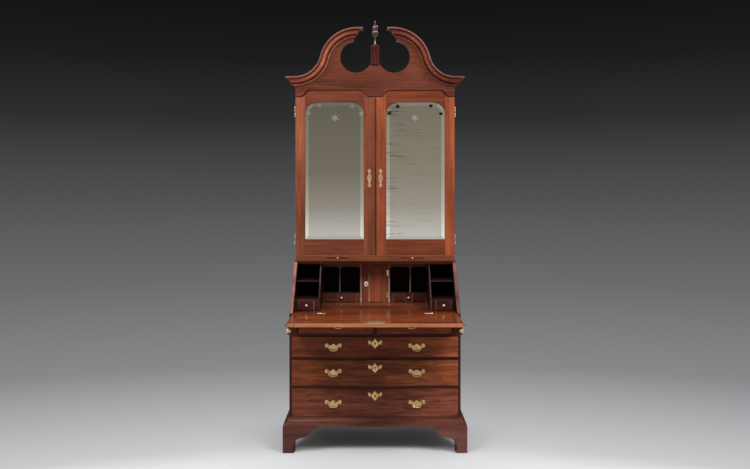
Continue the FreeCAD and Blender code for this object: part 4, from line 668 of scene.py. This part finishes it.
def shade_under_head(finish):
    """Painted shadow on a door's wood under its head, by the height left between a point and the head's line.

    The line is the lower of two smooth steps across the door: up from the inner shoulder, down to the outer.
    """
    tree = finish.node_tree
    shader = tree.nodes["Principled BSDF"]
    unshaded = shader.inputs["Base Color"].links[0].from_socket
    place = add_node(tree, "TexCoord", {}).outputs["Object"]
    parts = add_node(tree, "SeparateXYZ", {"Vector": place}).outputs
    across = worked(tree, "ABSOLUTE", parts["X"])
    rising = between(tree, across, *inner_step, shoulder, door_head, ends="SMOOTHERSTEP")
    falling = between(tree, across, *outer_step, door_head, shoulder, ends="SMOOTHERSTEP")
    below = worked(tree, "SUBTRACT", worked(tree, "MINIMUM", rising, falling), parts["Z"])
    head_shadow = between(tree, below, *head_shadow_reach, head_shadow_depth, 1, ends="SMOOTHERSTEP")
    fill(shader, {"Base Color": times(tree, unshaded, head_shadow)})


door_head = 2.070
shoulder = 2.032
inner_step = (0.033, 0.093)
outer_step = (0.383, 0.443)
# Reach and depth of the painted shadow under the door heads.
head_shadow_reach = (0.001, 0.0055)
head_shadow_depth = 0.12
sight_inner = 0.066
sight_outer = 0.419
old_brass = brass("old_brass", (0.46, 0.40, 0.28), (0.26, 0.21, 0.13), 8.8)
door_brass = brass("door_brass", (0.76, 0.49, 0.33), (0.58, 0.36, 0.215), 8.1)
# Stile colours and painted shades paint light and shade: the left door's stiles darker.
door_colours = (("left", (0.194, 0.056, 0.0280), (1.15, 0.9, 1), (0.154, 0.039, 0.0215), 91.3),
                ("right", (0.263, 0.064, 0.0256), (1, 1, 1), (0.118, 0.027, 0.0120), 97.8))
for side, stile_colour, painted_shades, rail_colour, start in door_colours:
    stile = timber("stile_" + side, "z", stile_colour, start, contrast=0.3, painted_shades=painted_shades)
    rail = timber("rail_" + side, "x", rail_colour, start + 3, contrast=0.35)
    shade_under_head(stile)
    shade_under_head(rail)
    node = "door_frame_" + side
    across = np.abs(face_facts(node)[:, 0])
    dress(node, [stile, rail], dark_edge, rounding=0.0018,
          choice=(across > sight_inner) & (across < sight_outer))
    dress("backing_" + side, [pine_upright], pine_upright)
    node = "door_brasses_" + side
    is_hinge = np.abs(face_facts(node)[:, 0]) > sight_outer
    dress(node, [door_brass, old_brass], old_brass, rounding=0.0004, choice=is_hinge)
door_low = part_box("door_frame_right")[0]
# The bead is coloured dark as painted shade of the joint between the doors.
bead_shade = timber("meeting_bead", "z", (0.070, 0.024, 0.020), 99.9)
bead_knots = [(0.0030, door_low.z + 0.002), (0.0034, door_low.z + 0.006), (0.0034, 2.020), (0.0030, 2.0245)]
bead_place = door_low.x + 0.0040
bead = half_turning(bead_place, door_low.y, bead_knots, count=60)
grid_piece("meeting_bead", [bead], bead_shade, "right_door")


# Mirror plates
# Old bevelled plates, silvered behind; the right one has lost silver in thin level streaks near the
# meeting stile. A six-rayed star is wheel-cut near the head of each. The right plate's silver is painted
# brighter towards its head, and spots near the corners are painted reflections, pale on the left plate and
# dark on the right.
def mixed(tree, share, first, last):
    """Colour between a first and a last one, by a share from 0 to 1."""
    return add_node(tree, "Mix", {0: share, 6: first, 7: last}, data_type="RGBA").outputs[2]


def silvering(name, start, bright, lost, reflection_spots, reflection_shade):
    """Mirror plate: silver as bright as given at its foot and head, with level streaks where lost is high.

    The change from foot to head is a painted reflection. Round each reflection spot, to about a centimetre,
    the silver takes the reflection shade, a painted pale or dark reflection.
    """
    finish, tree, shader, place = new_finish(name)

    def flaws(scale, detail):
        """Noise stretched by a scale along each axis."""
        return noise(tree, place, detail, (start, start, start), scale)

    bare_back = (0.14, 0.12, 0.10, 1)
    lost_across = (0.10, 0.30)
    brightening = (1.25, 1.60)
    reflection_rim = (0.008, 0.015)
    parts = add_node(tree, "SeparateXYZ", {"Vector": place}).outputs
    streaks = between(tree, flaws((5, 1, 230), 3), 0.57, 0.66, 0, 1)
    patches = between(tree, flaws((9, 1, 7), 3), 0.42, 0.58, 0, 1)
    near_middle = between(tree, parts["X"], *lost_across, lost, lost * 0.2)
    worn = worked(tree, "MULTIPLY", worked(tree, "MULTIPLY", streaks, patches), near_middle)
    uneven = between(tree, flaws((90, 1, 90), 2), 0.3, 0.7, 0.7, 1.5)
    # Painted reflection: the silver runs from its foot brightness to its head brightness.
    foot_silver, head_silver = [(shade, shade * 0.985, shade * 0.95, 1) for shade in bright]
    sheet = mixed(tree, between(tree, parts["Z"], *brightening, 0, 1), foot_silver, head_silver)
    shown = mixed(tree, worn, sheet, bare_back)
    # Painted reflections at the spots near the corners of the bevel.
    for spot in reflection_spots:
        away = add_node(tree, "VectorMath", {0: place, 1: spot}, operation="DISTANCE").outputs["Value"]
        marked = between(tree, worked(tree, "MULTIPLY", away, uneven), *reflection_rim, 1, 0)
        shown = mixed(tree, marked, shown, (reflection_shade, reflection_shade, reflection_shade * 0.95, 1))
    fill(shader, {"Base Color": shown,
                  "Roughness": between(tree, flaws((30, 1, 30), 2), 0.3, 0.7, 0.02, 0.06),
                  "Metallic": 1})
    return finish


def plate_outline(grow, spring, corner):
    """Edge of a plate: straight foot and sides and a flat head, joined by two quarter rounds from the spring.

    Grow moves all of it outwards.
    """
    turn = np.linspace(0, np.pi / 2, 61)
    bend = corner + grow
    outer_round = np.stack([sight_outer - corner + bend * np.cos(turn),
                            spring + bend * np.sin(turn)], axis=-1)
    inner_round = np.stack([sight_inner + corner - bend * np.sin(turn),
                            spring + bend * np.cos(turn)], axis=-1)
    foot = np.array([[sight_inner - grow, sight_foot - grow], [sight_outer + grow, sight_foot - grow]])
    return np.concatenate([foot, outer_round, inner_round])


def star_ray(centre, angle, length, half_wide, face):
    """One wheel-cut ray: a long kite, widest near a third of its length, with a ridge that falls outwards."""
    widest = 0.3
    tip = 0.02
    rim = 0.00005
    ridge = 0.0008
    along = np.linspace(tip, 1, 24)
    spread = half_wide * np.minimum(along / widest, (1 - along) / (1 - widest) + tip)
    sides = np.array([-1.0, 0.0, 1.0, 0.0])
    rise = np.array([rim, ridge, rim, 0.0])
    out = along[:, None] * length
    off = spread[:, None] * sides[None, :]
    x = centre[0] + out * np.cos(angle) - off * np.sin(angle)
    z = centre[1] + out * np.sin(angle) + off * np.cos(angle)
    return np.stack([x, face - np.broadcast_to(rise, x.shape) * (1 - along[:, None] * 0.6), z], axis=-1)


sight_foot = 1.178
spring = 1.932
corner = 0.066
bevel_wide = 0.022
bevel_fall = 0.0028
reflection_depth = 0.0015
reflection_places = ((sight_inner + corner + 0.004, spring + 0.042), (sight_outer - corner - 0.020, spring + 0.046),
               (sight_outer - 0.024, spring), (sight_inner + 0.018, spring))
star_across = 0.239
star_level = 1.906
ray_long = 0.027
ray_half = 0.0017
cut_glass, tree, shader, place = new_finish("wheel_cut_glass")
scratches = noise(tree, place, 2, fineness=900)
greys = [(0.35, (0.30, 0.295, 0.275)), (0.65, (0.43, 0.425, 0.395))]
fill(shader, {"Base Color": ramp(tree, scratches, greys),
              "Roughness": between(tree, scratches, 0.3, 0.7, 0.45, 0.65),
              "Specular IOR Level": 0.3})
# Columns: side, silver at foot and head, lost, shade of the painted reflection spots, way.
plates = (("left", (0.60, 0.60), 0.06, 0.95, -1), ("right", (0.64, 0.85), 0.8, 0.03, 1))
for side, bright, lost, reflection_shade, way in plates:
    low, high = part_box("mirror_" + side)
    reflection_spots = [(way * across, low.y + reflection_depth, level) for across, level in reflection_places]
    silver = silvering("silvering_" + side, 3.3 + lost, bright, lost, reflection_spots, reflection_shade)
    hidden = (high.x if way > 0 else -low.x) - sight_outer
    edges = ((hidden, high.y), (hidden, low.y + bevel_fall), (-bevel_wide, low.y))
    rings = [stand_up(plate_outline(grow, spring, corner) * (way, 1), depth) for grow, depth in edges]
    plate = grid_piece("bevelled_plate_" + side, [np.stack(rings)], silver, side + "_door",
                       crease=2.2)
    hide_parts("mirror_" + side)
    rays = [star_ray((way * star_across, star_level), math.radians(degrees), ray_long, ray_half, low.y)
            for degrees in range(30, 390, 60)]
    grid_piece("star_" + side, rays, cut_glass, side + "_door", crease=2)


# Tympanum
# One wide mahogany board closes the pediment; two circles are sawn out of it beside a fluted plinth,
# which is planted on its middle.
# Painted light and shade across the board: brighter on the left.
tympanum_wood = timber("tympanum_figure", "x", (0.116, 0.031, 0.018), 103.1, contrast=0.32,
                       painted_shades=(1.28, 1, 1.08))
plinth_wood = timber("plinth_wood", "z", (0.064, 0.0142, 0.0108), 104.4, contrast=0.2)
is_plinth = face_facts("tympanum")[:, 1] < door_low.y - front_skin
dress("tympanum", [tympanum_wood, plinth_wood], tympanum_wood, rounding=0, choice=is_plinth)


# Cornice
# Swan-neck mouldings sawn and carved from the solid, with straight returns along the sides. Each band of
# the profile has its own colour as painted light and shade: the quirk, the hollow, the cove and the lip are
# painted dark as painted shade; the bead, the ridge of the ogee and the top fillet pale as painted
# highlights; most bands are painted brighter on the left.
cornice_light_bands = (("quirk", (0.050, 0.014, 0.010), (1, 1, 1)),
                 ("bead", (0.225, 0.072, 0.041), (1.6, 1.1, 0.72)),
                 ("hollow", (0.085, 0.021, 0.013), (1.5, 1.1, 0.8)),
                 ("ridge", (0.295, 0.080, 0.046), (1.6, 1.1, 0.72)),
                 ("cove", (0.098, 0.023, 0.015), (1.4, 1, 0.85)),
                 ("lip", (0.050, 0.014, 0.010), (1, 1, 1)),
                 ("fillet", (0.190, 0.075, 0.058), (1, 1, 1)))
band_limits = (0.0066, 0.0105, 0.0240, 0.0306, 0.0475, 0.0535)
cornice_fronts = [timber("cornice_" + band, "x", colour, 107.6, contrast=0.25, polish=0.7, painted_shades=painted_shades,
                         shine=0.03) for band, colour, painted_shades in cornice_light_bands]
cornice_aside = timber("cornice_return", "y", (0.155, 0.042, 0.026), 109.9, contrast=0.3, polish=0.7,
                       shine=0.0)
centres = face_facts("cornice")
out_front = door_low.y - centres[:, 1]
out_side = np.abs(centres[:, 0]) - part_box("bookcase_sides")[1].x
is_return = out_side > np.maximum(out_front, 0)
dress("cornice", [*cornice_fronts, cornice_aside], cornice_aside, rounding=0,
      choice=np.where(is_return, len(cornice_fronts), np.digitize(out_front, band_limits)))


# Finial
# A carved and bronzed finial on the plinth: a turned foot and stem, a cup of eight leaves, a twisted
# crown of six flames and a bud at the tip.
def carved_finial(foot, axis_y):
    """Turned profile whose radius swells and sinks round the axis.

    The swelling is eight leaves with fine veins on the cup, and six flames that twist with height above it.
    """
    knots = np.array([(17, 0), (17, 4), (9, 10), (6.4, 24), (5.4, 40), (7.5, 52), (15.5, 65), (19.5, 77),
                      (17.5, 87), (13.2, 93), (16.2, 101), (17.6, 109), (14.6, 119), (8, 128), (4.8, 132),
                      (6.6, 138), (6.0, 144), (3.4, 149), (1.2, 153)]) / 1000
    profile = smooth_line(knots, count=260)
    angle = round_angles(128)[None, :]
    radius = profile[:, :1]
    height = profile[:, 1:]
    cup_level, cup_half = 0.072, 0.021
    crown_level, crown_half = 0.110, 0.018
    cup = np.clip(1 - np.abs(height - cup_level) / cup_half, 0, 1) ** 0.5
    crown = np.clip(1 - np.abs(height - crown_level) / crown_half, 0, 1) ** 0.5
    leaf_rise, vein_rise, flame_rise = 0.14, 0.03, 0.17
    crown_foot = 0.092
    twist = 60
    leaves = leaf_rise * (np.abs(np.cos(4 * angle)) - 0.6) + vein_rise * np.cos(24 * angle)
    flames = flame_rise * np.cos(6 * angle + (height - crown_foot) * twist)
    carved = radius * (1 + cup * leaves + crown * flames)
    y = axis_y + carved * np.sin(angle)
    return np.stack([carved * np.cos(angle), y, foot + height + carved * 0], axis=-1)


finial_low, finial_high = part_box("finial")
finial_axis = (finial_low.y + finial_high.y) / 2
finial_wood = timber("bronzed_carving", "z", (0.045, 0.022, 0.020), 113.3, contrast=0.6, polish=1.4,
                     shine=0.5)
finial = grid_piece("carved_finial", [carved_finial(finial_low.z, finial_axis)], finial_wood,
                    "carcase", crease=60)
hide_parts("finial")


# Floor and studio
# A plain pale floor that fades into the backdrop, a graded backdrop, and two soft lamps set high in
# front to the left and right, so that the lowered fall shades the drawers under it.
def floor_disc(radius, rows, columns):
    """Flat disc about the origin: rings of points at radius r and angle a, as (r cos a, r sin a, 0)."""
    distance = np.linspace(0.02, radius, rows)[:, None]
    angle = round_angles(columns)[None, :]
    return np.stack([distance * np.cos(angle), distance * np.sin(angle), distance * angle * 0], axis=-1)


floor_grid = floor_disc(radius=4.0, rows=12, columns=96)
index = np.arange(floor_grid[..., 0].size).reshape(floor_grid.shape[:2])
following = np.roll(index, -1, axis=1)
quads = np.stack([index[:-1], index[1:], following[1:], following[:-1]], axis=-1)
floor_faces = quads.reshape(-1, 4).tolist() + [index[0].tolist()]
floor_mesh = bpy.data.meshes.new("floor")
floor_mesh.from_pydata(floor_grid.reshape(-1, 3).tolist(), [], floor_faces)
floor = bpy.data.objects.new("floor", floor_mesh)
bpy.context.scene.collection.objects.link(floor)
floor_finish, tree, shader, place = new_finish("pale_floor")
fill(shader, {"Base Color": (0.645, 0.66, 0.675, 1), "Roughness": 0.55})
reach = add_node(tree, "VectorMath", {0: place}, operation="LENGTH").outputs["Value"]
fade = between(tree, reach, 0.40, 1.15, 0, 1, ends="SMOOTHSTEP")
clear = add_node(tree, "BsdfTransparent", {}).outputs["BSDF"]
blend = add_node(tree, "MixShader", {"Fac": fade, 1: shader.outputs["BSDF"], 2: clear}).outputs["Shader"]
fill(tree.nodes["Material Output"], {"Surface": blend})
floor_mesh.materials.append(floor_finish)

world = bpy.data.worlds.new("studio")
bpy.context.scene.world = world
world.use_nodes = True
tree = world.node_tree
tree.nodes.clear()
direction = add_node(tree, "TexCoord", {}).outputs["Generated"]
parts = add_node(tree, "SeparateXYZ", {"Vector": direction}).outputs


def graded(stops, warm):
    """Backdrop colour by height of view: each stop is a sine of elevation and a shade of 0 to 1.

    Warm takes blue, and a third as much green, out of the dark shades.
    """
    sine_limit = 0.4
    height = between(tree, parts["Z"], -sine_limit, sine_limit, 0, 1)
    colours = []
    for sine, shade in stops:
        tint = warm * (1 - shade)
        tinted = (shade, shade * (1 - tint * 0.35), shade * (1 - tint))
        colours.append(((sine + sine_limit) / (sine_limit * 2), tinted))
    return ramp(tree, height, colours)


behind = graded([(-0.34, 1.0), (0.26, 0.005), (-0.306, 0.80), (-0.29, 0.585), (-0.25, 0.43), (-0.20, 0.245),
                 (-0.10, 0.145), (0.0, 0.080), (0.095, 0.027), (0.166, 0.0116), (0.224, 0.0068)], warm=-0.06)
ahead = graded([(-0.38, 0.30), (0.36, 0.28), (-0.29, 0.62), (-0.24, 0.72), (-0.207, 0.48), (-0.178, 0.36),
                (-0.15, 0.40), (-0.09, 0.60), (-0.045, 0.80), (-0.012, 0.44), (0.03, 0.28), (0.12, 0.20)],
               warm=0.36)
above = graded([(-0.34, 0.85), (0.38, 0.42), (-0.02, 0.10)], warm=-0.03)
aside = worked(tree, "ABSOLUTE", parts["X"])
before = times(tree, ahead, between(tree, aside, 0.11, 0.18, 1, 1.5))
turned = between(tree, parts["Y"], 0.35, -0.35, 0, 1, ends="SMOOTHSTEP")
path = add_node(tree, "LightPath", {}).outputs
seen = mixed(tree, worked(tree, "MULTIPLY", turned, path["Is Glossy Ray"]), behind, before)
direct = worked(tree, "MAXIMUM", path["Is Camera Ray"], path["Is Glossy Ray"])
shown = worked(tree, "MAXIMUM", direct, path["Is Transmission Ray"])
lit = mixed(tree, shown, above, seen)
backdrop = add_node(tree, "Background", {"Color": lit}).outputs["Background"]
add_node(tree, "OutputWorld", {"Surface": backdrop})

lamp_aim = Vector((0, 0, 0.9))
lamp_wide = 2.6
for name, spot, power in (("left_lamp", (-3.2, -3.3, 5.3), 270), ("right_lamp", (3.2, -3.3, 5.3), 310)):
    lamp = bpy.data.lights.new(name, "AREA")
    lamp.shape = "SQUARE"
    lamp.size = lamp_wide
    lamp.energy = power
    holder = bpy.data.objects.new(name, lamp)
    bpy.context.scene.collection.objects.link(holder)
    holder.location = spot
    holder.rotation_euler = (lamp_aim - Vector(spot)).to_track_quat("-Z", "Y").to_euler()


# Camera
# Level and square to the front, at the distance and height that the photograph was taken from.
photo_wide = 750
photo_focus = 816.5
horizon_above_middle = 37
camera_away = 4.715
camera_high = 1.43
camera_data = bpy.data.cameras.new("camera")
camera_data.sensor_width = 36
camera_data.lens = photo_focus / photo_wide * camera_data.sensor_width
camera_data.shift_y = -horizon_above_middle / photo_wide
camera = bpy.data.objects.new("camera", camera_data)
camera.location = (0, -camera_away, camera_high)
camera.rotation_euler = (math.radians(90), 0, 0)
bpy.context.scene.collection.objects.link(camera)
bpy.context.scene.camera = camera
bpy.context.scene.view_settings.view_transform = "Standard"
